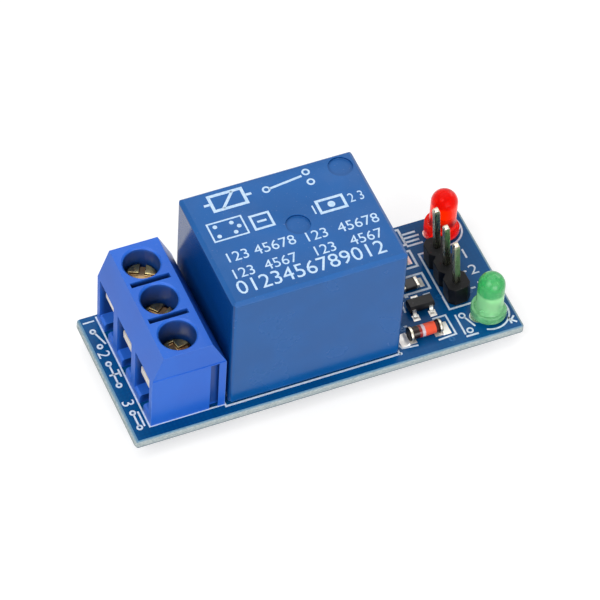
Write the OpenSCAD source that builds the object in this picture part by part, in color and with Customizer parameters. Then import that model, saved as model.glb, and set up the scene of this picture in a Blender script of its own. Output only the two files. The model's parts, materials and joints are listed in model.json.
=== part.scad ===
// Single-channel relay module on a small circuit board.
// Long edge along X: wire terminals at -X, supply header and indicators at +X.
// z = 0 is the plane of the trimmed lead tips that the board stands on.

/* [Board] */
// Length of the board along X
board_l = 43; // [40:0.5:60]
// Width of the board along Y
board_w = 17; // [16.8:0.1:26]
// Thickness of the board
board_t = 1.2; // [0.8:0.1:2.4]
// Radius of the board's corners
board_r = 0.45; // [0.1:0.05:0.6]
// Depth of the score cut in each face, along which the board was snapped off
score_depth = 0.35; // [0.2:0.05:0.35]
// How far the two ends stand out past the score cut
score_end = 0.36; // [0.1:0.02:0.4]
// How far the two long sides stand out past the score cut
score_side = 0.12; // [0.1:0.02:0.3]
// How far the trimmed leads stand out under the board
lead_tail = 1.8; // [1.2:0.1:3]
// Gap around a lead in its drilled hole
hole_gap = 0.12; // [0.05:0.01:0.3]
// Extra radius of a solder cone over its hole
solder_rim = 0.42; // [0.2:0.02:0.6]
// Height of a solder cone under the board
solder_h = 0.9; // [0.4:0.1:1.1]

/* [Terminal housing] */
// Number of wire poles
poles = 3; // [2:1:3]
// Distance between two poles
pole_pitch = 5; // [4.8:0.01:5.08]
// Board edge to the wire side of the housing
term_setback = 1.85; // [0.5:0.05:3]
// Middle of the block across the board
term_y = 0.45; // [-0.8:0.05:0.8]
// Depth of the housing along X
term_depth = 8.15; // [7.6:0.05:8.4]
// Height of the housing
term_h = 10.3; // [10:0.1:12]
// Width of one wire bay
bay_w = 3.9; // [3.4:0.05:4.1]
// Thickness of the two end walls
end_wall = 0.7; // [0.5:0.05:1]
// Thickness of the back wall
back_wall = 1.1; // [0.8:0.05:1.6]
// Run of the sloping wire side
front_bevel = 1.24; // [0.6:0.02:1.6]
// Height where the wire side starts to slope
front_bevel_z = 6.8; // [5.8:0.1:7]
// Run of the sloping relay side
back_bevel = 1.6; // [0.6:0.05:2]
// Height where the relay side starts to slope
back_bevel_z = 7; // [6:0.1:8]
// Setback of the upper part of the end on the -Y side
end_step = 0.08; // [0.04:0.02:0.3]
// Height of the ledge at that setback
end_step_z = 7.05; // [6:0.05:8]
// Ceiling of the room behind the wire bay
bay_ceiling_z = 6.9; // [6.6:0.05:7.2]
// Wall left in front of that room
lip_wall = 0.36; // [0.3:0.02:0.5]
// Height of the sill at the foot of a bay
sill_h = 1.2; // [0.8:0.1:1.6]
// Width of the notch in the sill
sill_notch_w = 1.1; // [0.6:0.1:2]
// Depth of the notch in the sill
sill_notch_l = 1.3; // [0.8:0.1:1.5]
// Diameter of a screw hole
screw_hole_d = 3.9; // [3.8:0.05:4.1]
// Wire side to the screw axis
screw_back = 3.75; // [3.5:0.05:4]
// Length of a slit between two screw holes
slit_l = 4.3; // [3:0.1:4.6]
// Width of a slit
slit_w = 0.65; // [0.4:0.05:0.8]
// Depth of a slit
slit_depth = 3.1; // [1:0.1:3.2]
// Width of the dovetail at its root
tail_root = 0.8; // [0.5:0.05:1.2]
// Width of the dovetail at its tip
tail_tip = 1.3; // [0.8:0.05:1.6]
// Depth of the dovetail
tail_depth = 0.45; // [0.3:0.05:0.5]
// Relay side to the middle of the dovetail
tail_back = 1.25; // [1:0.05:2]
// Play of the dovetail in a groove
tail_play = 0.05; // [0.02:0.01:0.1]

/* [Terminal metal] */
// Thickness of the fixed contact strip
contact_t = 0.6; // [0.4:0.05:0.8]
// Room between the floor strip and the tapped bridge
bridge_rise = 2.6; // [2.4:0.05:2.8]
// Thickness of the tapped bridge
bridge_t = 0.8; // [0.6:0.05:1]
// Sideways play of the metal in its bay
metal_play = 0.2; // [0.1:0.05:0.4]
// Length and width of a terminal's solder lead
term_lead = [1.0, 0.8];
// Thickness of the sliding clamp plate
plate_t = 0.4; // [0.3:0.05:0.5]
// Height of the plate's flared mouth
plate_flare = 0.75; // [0.4:0.05:1]
// Height of the plate's upright front
plate_apron = 0.95; // [0.6:0.05:1.1]
// Wire side to the plate's upright front
plate_setback = 0.55; // [0.5:0.05:0.8]
// Outside diameter of the screw thread
thread_d = 2.9; // [2.4:0.1:2.95]
// Running play between screw and tapped bridge
thread_play = 0.05; // [0.02:0.01:0.1]
// Diameter of the screw head
head_d = 3.6; // [3.4:0.05:3.7]
// Height of the screw head
head_h = 1.3; // [0.9:0.1:1.4]
// Width of the slots in the head
slot_w = 0.6; // [0.4:0.05:0.8]
// Depth of the slots in the head
slot_depth = 0.7; // [0.4:0.05:0.8]
// Plate height over the floor strip at each pole
plate_gap = [1.75, 1.05, 1.05];
// Direction of the slots at each pole
slot_turn = [62, 38, 10];

/* [Relay case] */
// Length of the relay
relay_l = 19.2; // [18:0.1:20]
// Width of the relay
relay_w = 15.2; // [14.8:0.1:16]
// Top of the relay over the board
relay_h = 15.9; // [15.3:0.1:17]
// Board middle to relay middle along X
relay_x = -1.54; // [-2:0.02:-1]
// Board middle to relay middle along Y
relay_y = 0.2; // [-0.4:0.05:0.4]
// Wall of the cover
cover_wall = 0.85; // [0.7:0.05:1]
// Gap under the rim of the cover
cover_gap = 0.25; // [0.1:0.05:0.5]
// Radius of the cover's upright edges
cover_r = 0.5; // [0.3:0.05:0.9]
// Chamfer round the top of the cover
cover_chamfer = 0.4; // [0.2:0.05:0.6]
// Diameter of the two round marks on the top
dimple_d = 2.6; // [1.5:0.1:3]
// Depth of the round marks
dimple_depth = 0.3; // [0.1:0.05:0.3]
// Height of the feet under the base
foot_h = 0.6; // [0.4:0.1:1]
// Thickness of the base plate
base_t = 1.4; // [1:0.1:2]
// Play between base plate and cover
base_play = 0.05; // [0.02:0.01:0.1]

/* [Relay works] */
// Row of the two coil leads, from the relay's middle
coil_lead_x = 5.4; // [5:0.05:5.6]
// Coil leads to the two fixed contacts along X
contact_row = 12.2; // [11.6:0.1:12.4]
// Coil leads to the common lead along X
common_row = 2; // [1.8:0.05:2.1]
// Half the distance between paired leads
lead_half = 6; // [5.8:0.05:6.1]
// Thickness of the magnet iron
iron_t = 1.2; // [0.9:0.05:1.3]
// Width of the magnet iron
iron_w = 9; // [7:0.1:9.5]
// Height of the magnet frame over its foot
iron_h = 9; // [8.5:0.1:9.2]
// Diameter of the core
core_d = 4; // [3:0.1:4.2]
// Diameter of the core's pole face
pole_d = 6; // [5:0.1:7]
// Height of the core's pole face
pole_t = 0.8; // [0.6:0.05:1]
// Outside diameter of the winding
winding_d = 8.8; // [7:0.1:8.8]
// Wall of the bobbin
bobbin_wall = 0.8; // [0.6:0.05:1]
// Armature length from its pivot edge
armature_l = 9.2; // [8.5:0.1:9.6]
// Thickness of the armature
armature_t = 1; // [0.8:0.05:1.1]
// Opening angle of the armature at rest
armature_open = 4.5; // [3:0.1:4.6]
// Air gap that is left when the armature is in
air_gap = 0.05; // [0.03:0.01:0.1]
// Thickness of the contact spring
spring_t = 0.2; // [0.15:0.01:0.3]
// Width of the contact spring
spring_w = 4.6; // [3:0.1:6]
// Pivot edge to the contact button along the spring
button_reach = 14; // [13:0.1:14.4]
// Diameter of a contact button
button_d = 2; // [1.4:0.1:2.4]
// Height of a contact button
button_h = 0.35; // [0.25:0.05:0.4]
// Thickness of the fixed contact strips
strip_t = 0.4; // [0.3:0.05:0.5]
// Width of the fixed contact strips
strip_w = 2.4; // [1.8:0.1:2.8]

/* [Header] */
// Number of pins
header_n = 3; // [2:1:4]
// Pitch of the pins
header_pitch = 2.54; // [2:0.01:2.54]
// Board edge to the row of pins
header_inset = 4.75; // [4.2:0.05:6]
// Board middle to header middle along Y
header_off = 0.15; // [-0.5:0.05:0.5]
// Width and height of the pin carrier
header_w = 2.5; // [2:0.1:2.54]
// Corner cut of each segment
header_cut = 0.55; // [0.3:0.05:0.7]
// Side of the square pins
pin_w = 0.64; // [0.5:0.02:0.7]
// Length of the pins over the carrier
pin_up = 6.1; // [5:0.1:12]
// Lean of the header towards -X, as soldered
header_lean = 5; // [0:0.5:5]

/* [Indicators] */
// Diameter of the lens
led_d = 2.9; // [2.8:0.05:3.1]
// Diameter of the flange
flange_d = 3.85; // [3.6:0.05:4]
// Height of the flange
flange_h = 1; // [0.6:0.1:1.2]
// Lens height with its flange
led_h = 5.8; // [4.5:0.1:6]
// Gap between board and flange
led_gap = 0.3; // [0.2:0.05:1.5]
// Board edge to the two lamps along X
led_inset = 2.6; // [2.2:0.05:3.5]
// Distance of the two lamps from the board's middle line
led_y = [-5.75, 6.4];
// Pitch of the lamp leads
led_pitch = 2.54; // [2:0.01:2.54]
// Side of a lamp lead
led_lead = 0.5; // [0.4:0.05:0.6]

/* [Surface parts] */
// Middle of the three chip resistors along X
res_x = 12.6; // [12:0.05:13]
// Places of the chip resistors along Y
res_y = [0.55, 3.8, 6.9];
// Length, width and height of a chip resistor
res_size = [2.0, 1.25, 0.5];
// Length of a resistor's end cap
res_cap = 0.38; // [0.2:0.02:0.5]
// Middle of the transistor
tr_pos = [12.46, -2.5];
// Length, width and height of the transistor body
tr_size = [2.9, 1.3, 1.0];
// Lead pitch of the transistor
tr_pitch = 1.9; // [1.8:0.01:2]
// Reach of the transistor over its leads
tr_span = 2.5; // [2.3:0.05:2.7]
// Width of a transistor lead
tr_lead_w = 0.42; // [0.3:0.02:0.5]
// Thickness of a transistor lead
tr_lead_t = 0.13; // [0.1:0.01:0.2]
// Middle of the diode
diode_pos = [11.4, -6.05];
// Length of the diode
diode_l = 3.7; // [3.3:0.05:3.7]
// Diameter of the diode's caps
diode_d = 1.55; // [1.3:0.05:1.7]
// Diameter of the diode's glass
glass_d = 1.35; // [1.2:0.05:1.5]
// Length of a diode cap
cap_l = 0.42; // [0.3:0.02:0.6]
// Solder film under the surface parts
film = 0.05; // [0.02:0.01:0.1]

/* [Display] */
// Node to draw, or all

/* [Hidden] */
$fn = 48;
eps = 0.01;
lift = lead_tail + board_t;
left_x = -board_l / 2;
right_x = board_l / 2;

// terminal block
term_x0 = left_x + term_setback;
term_x1 = term_x0 + term_depth;
screw_x = term_x0 + screw_back;
term_w = (poles - 1) * pole_pitch + bay_w + 2 * end_wall;
term_y0 = term_y - term_w / 2;
bay_x1 = term_x1 - back_wall;
floor_z = sill_h + contact_t;
bridge_z = floor_z + bridge_rise;
metal_w = bay_w - 2 * metal_play;
thread_od = min(thread_d, metal_w - 0.6);
plate_x0 = term_x0 + plate_setback;
contact_x0 = plate_x0 + plate_t + plate_flare + metal_play;
shank_l = bridge_rise + bridge_t - plate_t - thread_play;
neck_d = thread_od / 2;
rivet_d = neck_d + 0.5;
rivet_h = 0.2;

// relay
case_in_l = relay_l - 2 * cover_wall;
case_in_w = relay_w - 2 * cover_wall;
deck_z = foot_h + base_t;
iron_x1 = coil_lead_x + common_row + iron_t / 2;
iron_top = deck_z + iron_h;
core_x = iron_x1 - iron_t - 0.2 - winding_d / 2;
bobbin_top = iron_top - pole_t;
bobbin_z = deck_z + iron_t;
pivot = [iron_x1, iron_top + air_gap];
contact_x = coil_lead_x - contact_row;
button_x = iron_x1 - button_reach;
open_button_x = iron_x1 - button_reach * cos(armature_open)
    + (armature_t + spring_t) * sin(armature_open);
open_rise = button_reach * sin(armature_open)
    + (armature_t + spring_t + button_h) * cos(armature_open)
    + button_d / 2 * sin(armature_open);
no_z = iron_top + air_gap + armature_t - 2 * button_h - air_gap - strip_t;
nc_z = iron_top + 2 * air_gap + open_rise + button_h;

// header, lamps and surface parts
header_x = right_x - header_inset;
led_x = right_x - led_inset;
relay_lead = [0.9, strip_t];
coil_lead = 0.6;

// Every lead that passes the board: x, y, size along X, size along Y
LEADS = concat(
    [for (i = [0:poles - 1]) [screw_x, pole_y(i), term_lead[0], term_lead[1]]],
    [for (s = [-1, 1]) [relay_x + coil_lead_x, relay_y + s * lead_half, coil_lead, coil_lead]],
    [for (s = [-1, 1]) [relay_x + contact_x, relay_y + s * lead_half, relay_lead[0], relay_lead[1]]],
    [[relay_x + coil_lead_x + common_row, relay_y, iron_t, 1.2]],
    [for (i = [0:header_n - 1]) [header_x, header_y(i), pin_w, pin_w]],
    [for (y = led_y) for (s = [-1, 1]) [led_x + s * led_pitch / 2, y, led_lead, led_lead]]
);

// pole 0 is the one nearest +Y
function pole_y(i) = term_y + ((poles - 1) / 2 - i) * pole_pitch;
function header_y(i) = header_off + ((header_n - 1) / 2 - i) * header_pitch;
function hole_d(p) = norm([p[2], p[3]]) + 2 * hole_gap;
function plate_z(i) = floor_z + plate_gap[i];

module on_board() {
    translate([0, 0, lift]) children();
}

// centred box standing on z
module slab(size, z = 0) {
    translate([-size[0] / 2, -size[1] / 2, z]) cube(size);
}

// box from x0 to x1, centred on y, from z0 to z1
module bar(x0, x1, w, z0, z1) {
    translate([x0, -w / 2, z0]) cube([x1 - x0, w, z1 - z0]);
}

// outline in X and Z, drawn out along Y about y = 0
module profile_y(points, w) {
    translate([0, w / 2, 0]) rotate([90, 0, 0]) linear_extrude(w) polygon(points);
}

// rectangle with round corners
module round_rect(l, w, r) {
    square([l - 2 * r, w], center = true);
    square([l, w - 2 * r], center = true);
    for (sx = [-1, 1]) {
        for (sy = [-1, 1]) {
            translate([sx * (l / 2 - r), sy * (w / 2 - r)]) circle(r);
        }
    }
}

// ---------- board and solder ----------

// section of the board between two scored edges, half as wide as w on its faces
function scored(w, out) = [[-w, 0], [w, 0], [w + out, -score_depth],
    [w + out, score_depth - board_t], [w, -board_t], [-w, -board_t],
    [-w - out, score_depth - board_t], [-w - out, -score_depth]];

module board_blank() {
    intersection() {
        profile_y(scored(board_l / 2, score_end), board_w + 2);
        rotate([0, 0, 90]) profile_y(scored(board_w / 2, score_side), board_l + 2);
        translate([0, 0, -board_t - 1]) linear_extrude(board_t + 2)
            round_rect(board_l + 2 * score_end, board_w + 2 * score_side, board_r);
    }
}

module circuit_board() {
    color([0.04, 0.25, 0.46])
    on_board() difference() {
        board_blank();
        for (p = LEADS) {
            translate([p[0], p[1], -board_t - 1]) cylinder(h = board_t + 2, d = hole_d(p));
        }
    }
}

module pin_solder() {
    color([0.75, 0.76, 0.78])
    on_board() difference() {
        for (p = LEADS) {
            r = hole_d(p) / 2 + solder_rim;
            translate([p[0], p[1], -board_t - solder_h])
                cylinder(h = solder_h, r1 = r * 0.55, r2 = r);
        }
        for (p = LEADS) {
            if (p[0] != header_x) {
                translate([p[0], p[1], 0]) slab([p[2], p[3], lift + 1], -lift - 0.5);
            }
        }
        header_lean_frame() {
            for (i = [0:header_n - 1]) {
                translate([0, header_y(i), 0]) slab([pin_w, pin_w, lift + 1], -lift - 0.5);
            }
        }
    }
}

// wedge of solder that climbs h on a face at x = 0
module fillet(l, w, h) {
    profile_y([[0, 0], [l, 0], [l, film], [0.35 * l, 0.35 * h], [0, h]], w);
}

module top_solder() {
    color([0.8, 0.8, 0.8])
    on_board() {
        for (y = res_y) {
            translate([res_x, y, 0]) {
                slab([res_size[0] + 0.2, res_size[1], film]);
                for (s = [0, 180]) {
                    rotate([0, 0, s]) translate([res_size[0] / 2, 0, 0])
                        fillet(0.6, res_size[1], 0.75 * res_size[2]);
                }
            }
        }
        for (s = [0, 180]) {
            translate([diode_pos[0], diode_pos[1], 0]) rotate([0, 0, s])
                translate([diode_l / 2, 0, 0]) {
                    fillet(1.0, diode_d + 0.2, 0.6 * diode_d);
                    translate([-cap_l, 0, 0]) slab([2 * cap_l, diode_d, film]);
                }
        }
        for (p = tr_feet()) {
            translate([p[0], p[1], 0]) rotate([0, 0, 90 * p[2]]) {
                translate([tr_span / 2 - 0.42, 0, 0]) fillet(0.85, 0.85, 0.1 + film);
            }
        }
    }
}

// ---------- wire terminal ----------

module terminal_outline() {
    polygon([[term_x0, 0], [term_x0, front_bevel_z], [term_x0 + front_bevel, term_h],
        [term_x1 - back_bevel, term_h], [term_x1, back_bevel_z], [term_x1, 0]]);
}

// upright dovetail that stands out from y = 0 towards +Y
module dovetail(play, z1) {
    linear_extrude(z1)
        polygon([[-tail_root / 2 - play, -eps], [tail_root / 2 + play, -eps],
            [tail_tip / 2 + play, tail_depth + play], [-tail_tip / 2 - play, tail_depth + play]]);
}

module wire_bay() {
    // mouth under the sloping front
    bar(term_x0 - 1, bay_x1, bay_w, sill_h, front_bevel_z);
    // room behind the lip for the clamp plate
    bar(term_x0 + lip_wall, bay_x1, bay_w, sill_h, bay_ceiling_z);
    // notch through the sill
    bar(term_x0 - 1, term_x0 + sill_notch_l, sill_notch_w, -1, sill_h + 1);
    // worn top edge of the sill
    translate([term_x0, 0, sill_h]) rotate([0, 45, 0]) slab([0.35, bay_w, 0.35], -0.175);
    translate([screw_x, 0, bay_ceiling_z - 1]) cylinder(h = term_h, d = screw_hole_d);
    translate([screw_x, 0, term_h - 0.2]) cylinder(h = 0.21, d1 = screw_hole_d, d2 = screw_hole_d + 0.4);
    translate([screw_x, 0, 0]) slab([term_lead[0] + 0.1, term_lead[1] + 0.1, 4], -1);
}

module terminal_housing() {
    tail_x = term_x1 - tail_back;
    color([0.18, 0.42, 0.85])
    on_board() {
        difference() {
            translate([0, term_y + term_w / 2, 0]) rotate([90, 0, 0])
                linear_extrude(term_w) terminal_outline();
            for (i = [0:poles - 1]) {
                translate([0, pole_y(i), 0]) wire_bay();
            }
            for (i = [0:1:poles - 2]) {
                translate([screw_x, pole_y(i) - pole_pitch / 2, term_h - slit_depth])
                    slab([slit_l, slit_w, slit_depth + 1]);
            }
            // upper part of the end, set back
            translate([term_x0 - 1, term_y0 - 1, end_step_z])
                cube([term_depth + 2, 1 + end_step, term_h]);
            // groove for the next block, closed above the ledge
            translate([tail_x, term_y0, -1]) dovetail(tail_play, 1 + end_step_z - 0.1);
        }
        translate([tail_x, term_y0 + term_w, 0]) dovetail(0, back_bevel_z);
    }
}

module terminal_contacts() {
    color([0.82, 0.76, 0.6])
    on_board() for (i = [0:poles - 1]) {
        translate([0, pole_y(i), 0]) difference() {
            union() {
                bar(contact_x0, bay_x1, metal_w, sill_h, floor_z);
                bar(bay_x1 - contact_t, bay_x1, metal_w, sill_h, bridge_z + bridge_t);
                bar(contact_x0 + 0.4, bay_x1, metal_w, bridge_z, bridge_z + bridge_t);
                translate([screw_x, 0, 0]) slab([term_lead[0], term_lead[1], lift + sill_h + eps], -lift);
            }
            translate([screw_x, 0, bridge_z - 1])
                cylinder(h = bridge_t + 2, d = thread_od + 2 * thread_play);
            // dimple for the riveted end of the screw
            translate([screw_x, 0, floor_z - rivet_h - 0.1])
                cylinder(h = 1, d = rivet_d + 4 * thread_play);
        }
    }
}

// sliding plate, drawn with its underside at z = 0
module clamp_plate(i) {
    pad_x = plate_x0 + plate_t + plate_flare;
    pad_x1 = bay_x1 - contact_t - 2 * metal_play;
    color([0.93, 0.9, 0.82])
    on_board() translate([0, pole_y(i), plate_z(i)]) difference() {
        profile_y([[pad_x, 0], [pad_x1, 0], [pad_x1, plate_t], [pad_x - 0.1, plate_t],
            [plate_x0 + plate_t, plate_flare + 0.15], [plate_x0 + plate_t, plate_flare + plate_apron],
            [plate_x0, plate_flare + plate_apron], [plate_x0, plate_flare]], metal_w - 0.2);
        translate([screw_x, 0, -1]) cylinder(h = 3, d = neck_d + 2 * thread_play);
    }
}

module clamp_plate_1() clamp_plate(0);
module clamp_plate_2() clamp_plate(1);
module clamp_plate_3() clamp_plate(2);

// screw that turns in the plate and in the bridge's thread
module clamp_screw(i) {
    color([0.78, 0.7, 0.42])
    on_board() translate([screw_x, pole_y(i), plate_z(i)]) rotate([0, 0, slot_turn[i]]) {
        // riveted end under the plate
        translate([0, 0, -rivet_h - thread_play]) cylinder(h = rivet_h, d = rivet_d);
        translate([0, 0, -rivet_h]) cylinder(h = plate_t + rivet_h + 0.2, d = neck_d);
        translate([0, 0, plate_t + thread_play]) cylinder(h = shank_l + 1, d = thread_od);
        translate([0, 0, plate_t + thread_play + shank_l]) difference() {
            union() {
                cylinder(h = head_h - 0.25, d = head_d);
                translate([0, 0, head_h - 0.25]) cylinder(h = 0.25, d1 = head_d, d2 = head_d - 0.5);
            }
            slab([head_d + 1, slot_w, slot_depth + 1], head_h - slot_depth);
            slab([slot_w, head_d * 0.72, slot_depth + 1], head_h - slot_depth);
        }
    }
}

module clamp_screw_1() clamp_screw(0);
module clamp_screw_2() clamp_screw(1);
module clamp_screw_3() clamp_screw(2);

// ---------- relay ----------

module on_relay() {
    on_board() translate([relay_x, relay_y, 0]) children();
}

// wedge that takes the chamfer off one top edge, edge along X
module top_chamfer(l, half) {
    translate([0, half, relay_h]) rotate([45, 0, 0])
        cube([l + 2, cover_chamfer * sqrt(2), cover_chamfer * sqrt(2)], center = true);
}

module relay_cover() {
    color([0.16, 0.36, 0.66])
    on_relay() difference() {
        translate([0, 0, cover_gap]) linear_extrude(relay_h - cover_gap)
            round_rect(relay_l, relay_w, cover_r);
        slab([case_in_l, case_in_w, relay_h - cover_wall + 1], -1);
        for (s = [-1, 1]) {
            top_chamfer(relay_l, s * relay_w / 2);
            rotate([0, 0, 90]) top_chamfer(relay_w, s * relay_l / 2);
        }
        translate([0.58, 0.1, relay_h - dimple_depth]) cylinder(h = 1, d = dimple_d);
        translate([relay_l / 2 - 1.93, relay_w / 2 - 1.8, relay_h - dimple_depth])
            cylinder(h = 1, d = dimple_d);
    }
}

module relay_base() {
    color([0.12, 0.3, 0.6])
    on_relay() difference() {
        union() {
            slab([case_in_l - 2 * base_play, case_in_w - 2 * base_play, base_t], foot_h);
            for (sx = [-1, 1]) {
                for (sy = [-1, 1]) {
                    translate([sx * (case_in_l / 2 - 0.8), sy * (case_in_w / 2 - 2.2), 0])
                        slab([1, 1.4, foot_h + eps]);
                }
            }
            // ribbed seats that grip the two contact strips
            for (s = [-1, 1]) {
                translate([contact_x, s * (lead_half - 0.1), 0]) slab([3.4, 1.4, 3.2], deck_z - eps);
                translate([contact_x, s * (lead_half - 1.4), 0]) slab([0.6, 1.6, 2.2], deck_z - eps);
            }
        }
        for (s = [-1, 1]) {
            translate([contact_x, s * lead_half, 0]) slab([strip_w, strip_t, 8], deck_z);
            translate([contact_x, s * lead_half, 0]) slab([relay_lead[0], relay_lead[1], 4], -1);
            translate([coil_lead_x, s * lead_half, 0]) slab([coil_lead, coil_lead, 4], -1);
        }
        translate([coil_lead_x + common_row, 0, 0]) slab([iron_t, 1.2, 4], -1);
    }
}

module relay_bobbin() {
    flange_x0 = core_x - winding_d / 2 - 0.4;
    flange_x1 = iron_x1 - iron_t;
    color([0.9, 0.88, 0.8])
    on_relay() difference() {
        union() {
            bar(flange_x0, flange_x1, winding_d + 1, bobbin_z, bobbin_z + bobbin_wall);
            bar(flange_x0, flange_x1, winding_d + 1, bobbin_top - bobbin_wall, bobbin_top);
            translate([core_x, 0, bobbin_z])
                cylinder(h = bobbin_top - bobbin_z, d = core_d + 2 * bobbin_wall);
            for (s = [-1, 1]) {
                translate([coil_lead_x, s * (lead_half - 0.6), 0])
                    slab([1.6, 2.2, bobbin_wall + 0.6], bobbin_z);
            }
        }
        translate([core_x, 0, bobbin_z - 1]) cylinder(h = iron_h + 2, d = core_d + 0.02);
        for (s = [-1, 1]) {
            translate([coil_lead_x, s * lead_half, 0])
                slab([coil_lead, coil_lead, bobbin_wall + 2], bobbin_z - 1);
        }
    }
}

module relay_winding() {
    color([0.72, 0.38, 0.2])
    on_relay() translate([core_x, 0, bobbin_z + bobbin_wall]) difference() {
        cylinder(h = bobbin_top - bobbin_z - 2 * bobbin_wall, d = winding_d);
        translate([0, 0, -1]) cylinder(h = iron_h, d = core_d + 2 * bobbin_wall);
    }
}

module relay_core() {
    color([0.6, 0.6, 0.62])
    on_relay() translate([core_x, 0, deck_z]) {
        cylinder(h = iron_h, d = core_d);
        translate([0, 0, iron_h - pole_t]) cylinder(h = pole_t, d = pole_d);
    }
}

module relay_yoke() {
    color([0.66, 0.66, 0.68])
    on_relay() difference() {
        union() {
            bar(core_x - pole_d / 2, iron_x1, iron_w, deck_z, deck_z + iron_t);
            bar(iron_x1 - iron_t, iron_x1, iron_w, deck_z, iron_top);
            translate([coil_lead_x + common_row, 0, 0])
                slab([iron_t, 1.2, lift + deck_z + eps], -lift);
        }
        translate([core_x, 0, deck_z - 1]) cylinder(h = iron_t + 2, d = core_d);
    }
}

// turns what is drawn for the closed magnet to the open rest pose
module armature_swing() {
    on_relay() translate([pivot[0], 0, pivot[1]]) rotate([0, armature_open, 0])
        translate([-pivot[0], 0, -pivot[1]]) children();
}

module relay_armature() {
    z0 = pivot[1];
    color([0.7, 0.7, 0.72])
    armature_swing() {
        bar(iron_x1 - armature_l, iron_x1 - 0.05, iron_w - 0.6, z0, z0 + armature_t);
    }
}

module relay_contact_spring() {
    z0 = pivot[1] + armature_t;
    leg_x = iron_x1 + 0.1;
    color([0.8, 0.55, 0.3]) {
        armature_swing() {
            bar(button_x - button_d / 2 - 0.3, leg_x + spring_t, spring_w, z0, z0 + spring_t);
            translate([button_x, 0, z0 - button_h])
                cylinder(h = 2 * button_h + spring_t, d = button_d);
            // two rivet heads that hold the spring to the armature
            for (s = [-1, 1]) {
                translate([iron_x1 - 4, s * 1.2, z0]) cylinder(h = spring_t + 0.25, d = 1.2);
            }
        }
        // leg that hangs down behind the yoke
        on_relay()
            bar(leg_x, leg_x + spring_t, spring_w - 0.6, z0 - armature_t - 2.4, z0 + spring_t / 2);
    }
}

// strip that stands at y = side * lead_half and reaches over the middle
module contact_strip(side, z, button_at, x) {
    reach = lead_half + button_d / 2 + 0.2;
    translate([contact_x, side * lead_half, 0]) slab([relay_lead[0], relay_lead[1], lift + deck_z + eps], -lift);
    translate([contact_x, side * lead_half, 0]) slab([strip_w, strip_t, z + strip_t - deck_z], deck_z);
    translate([0, side * (lead_half + strip_t / 2) - (side + 1) / 2 * reach, z])
        translate([contact_x - strip_w / 2, 0, 0])
        cube([x - contact_x + strip_w / 2 + button_d / 2, reach, strip_t]);
    translate([x, 0, button_at]) cylinder(h = button_h, d = button_d);
}

module relay_open_contact() {
    color([0.8, 0.6, 0.35])
    on_relay() contact_strip(-1, no_z, no_z + strip_t, button_x);
}

module relay_closed_contact() {
    color([0.8, 0.6, 0.35])
    on_relay() contact_strip(1, nc_z, nc_z - button_h, open_button_x);
}

module relay_coil_leads() {
    color([0.78, 0.78, 0.8])
    on_relay() for (s = [-1, 1]) {
        translate([coil_lead_x, s * lead_half, 0])
            slab([coil_lead, coil_lead, lift + bobbin_z + bobbin_wall + 1.4], -lift);
    }
}

// ---------- header ----------

module header_lean_frame() {
    translate([header_x, 0, header_w / 2 * sin(header_lean)]) rotate([0, -header_lean, 0]) children();
}

module header_carrier() {
    h = header_pitch / 2;
    w = header_w / 2;
    color([0.12, 0.12, 0.13])
    on_board() header_lean_frame() difference() {
        for (i = [0:header_n - 1]) {
            translate([0, header_y(i), 0]) linear_extrude(header_w)
                polygon([[-w, -h + header_cut], [-w + header_cut, -h - eps], [w - header_cut, -h - eps],
                    [w, -h + header_cut], [w, h - header_cut], [w - header_cut, h + eps],
                    [-w + header_cut, h + eps], [-w, h - header_cut]]);
        }
        for (i = [0:header_n - 1]) {
            translate([0, header_y(i), -1]) slab([pin_w, pin_w, header_w + 2]);
        }
    }
}

module header_pins() {
    tip = 0.3;
    color([0.8, 0.8, 0.76])
    on_board() header_lean_frame() for (i = [0:header_n - 1]) {
        translate([0, header_y(i), 0]) {
            slab([pin_w, pin_w, lift - 0.1 + header_w + pin_up - tip], 0.1 - lift);
            translate([0, 0, header_w + pin_up - tip])
                linear_extrude(tip, scale = 0.7) square(pin_w, center = true);
        }
    }
}

// ---------- lamps ----------

module lamp_leads_shape() {
    // post and anvil of the lead frame, with their long leads
    for (s = [-1, 1]) {
        translate([s * led_pitch / 2, 0, 0])
            slab([led_lead, led_lead, lift + led_gap + flange_h + 0.2], -lift);
    }
    translate([led_pitch / 2 - 0.75, 0, 0])
        slab([1.5, led_lead, 0.5], led_gap + flange_h);
    translate([led_pitch / 2 - 0.95, 0, led_gap + flange_h]) cylinder(h = 1.3, d = 0.9);
    translate([-led_pitch / 2 + 0.2, 0, 0]) slab([0.5, led_lead, 1.6], led_gap + flange_h);
}

module lamp_lens_shape() {
    r = led_d / 2;
    difference() {
        translate([0, 0, led_gap]) {
            difference() {
                cylinder(h = flange_h, d = flange_d);
                translate([flange_d / 2 - 0.3, -flange_d, -1]) cube([flange_d, 2 * flange_d, flange_h + 2]);
            }
            cylinder(h = led_h - r, r = r);
            translate([0, 0, led_h - r]) sphere(r);
        }
        lamp_leads_shape();
    }
}

module at_lamp(i) {
    on_board() translate([led_x, led_y[i], 0]) children();
}

module green_lamp_lens() color([0.3, 0.8, 0.45]) at_lamp(0) lamp_lens_shape();
module green_lamp_leads() color([0.8, 0.8, 0.8]) at_lamp(0) lamp_leads_shape();
module red_lamp_lens() color([0.9, 0.1, 0.08]) at_lamp(1) lamp_lens_shape();
module red_lamp_leads() color([0.8, 0.8, 0.8]) at_lamp(1) lamp_leads_shape();

// ---------- surface parts ----------

// x, y and quarter turns of each transistor foot
function tr_feet() = [
    [tr_pos[0] - tr_pitch / 2, tr_pos[1], -1],
    [tr_pos[0] + tr_pitch / 2, tr_pos[1], -1],
    [tr_pos[0], tr_pos[1], 1]
];

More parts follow.
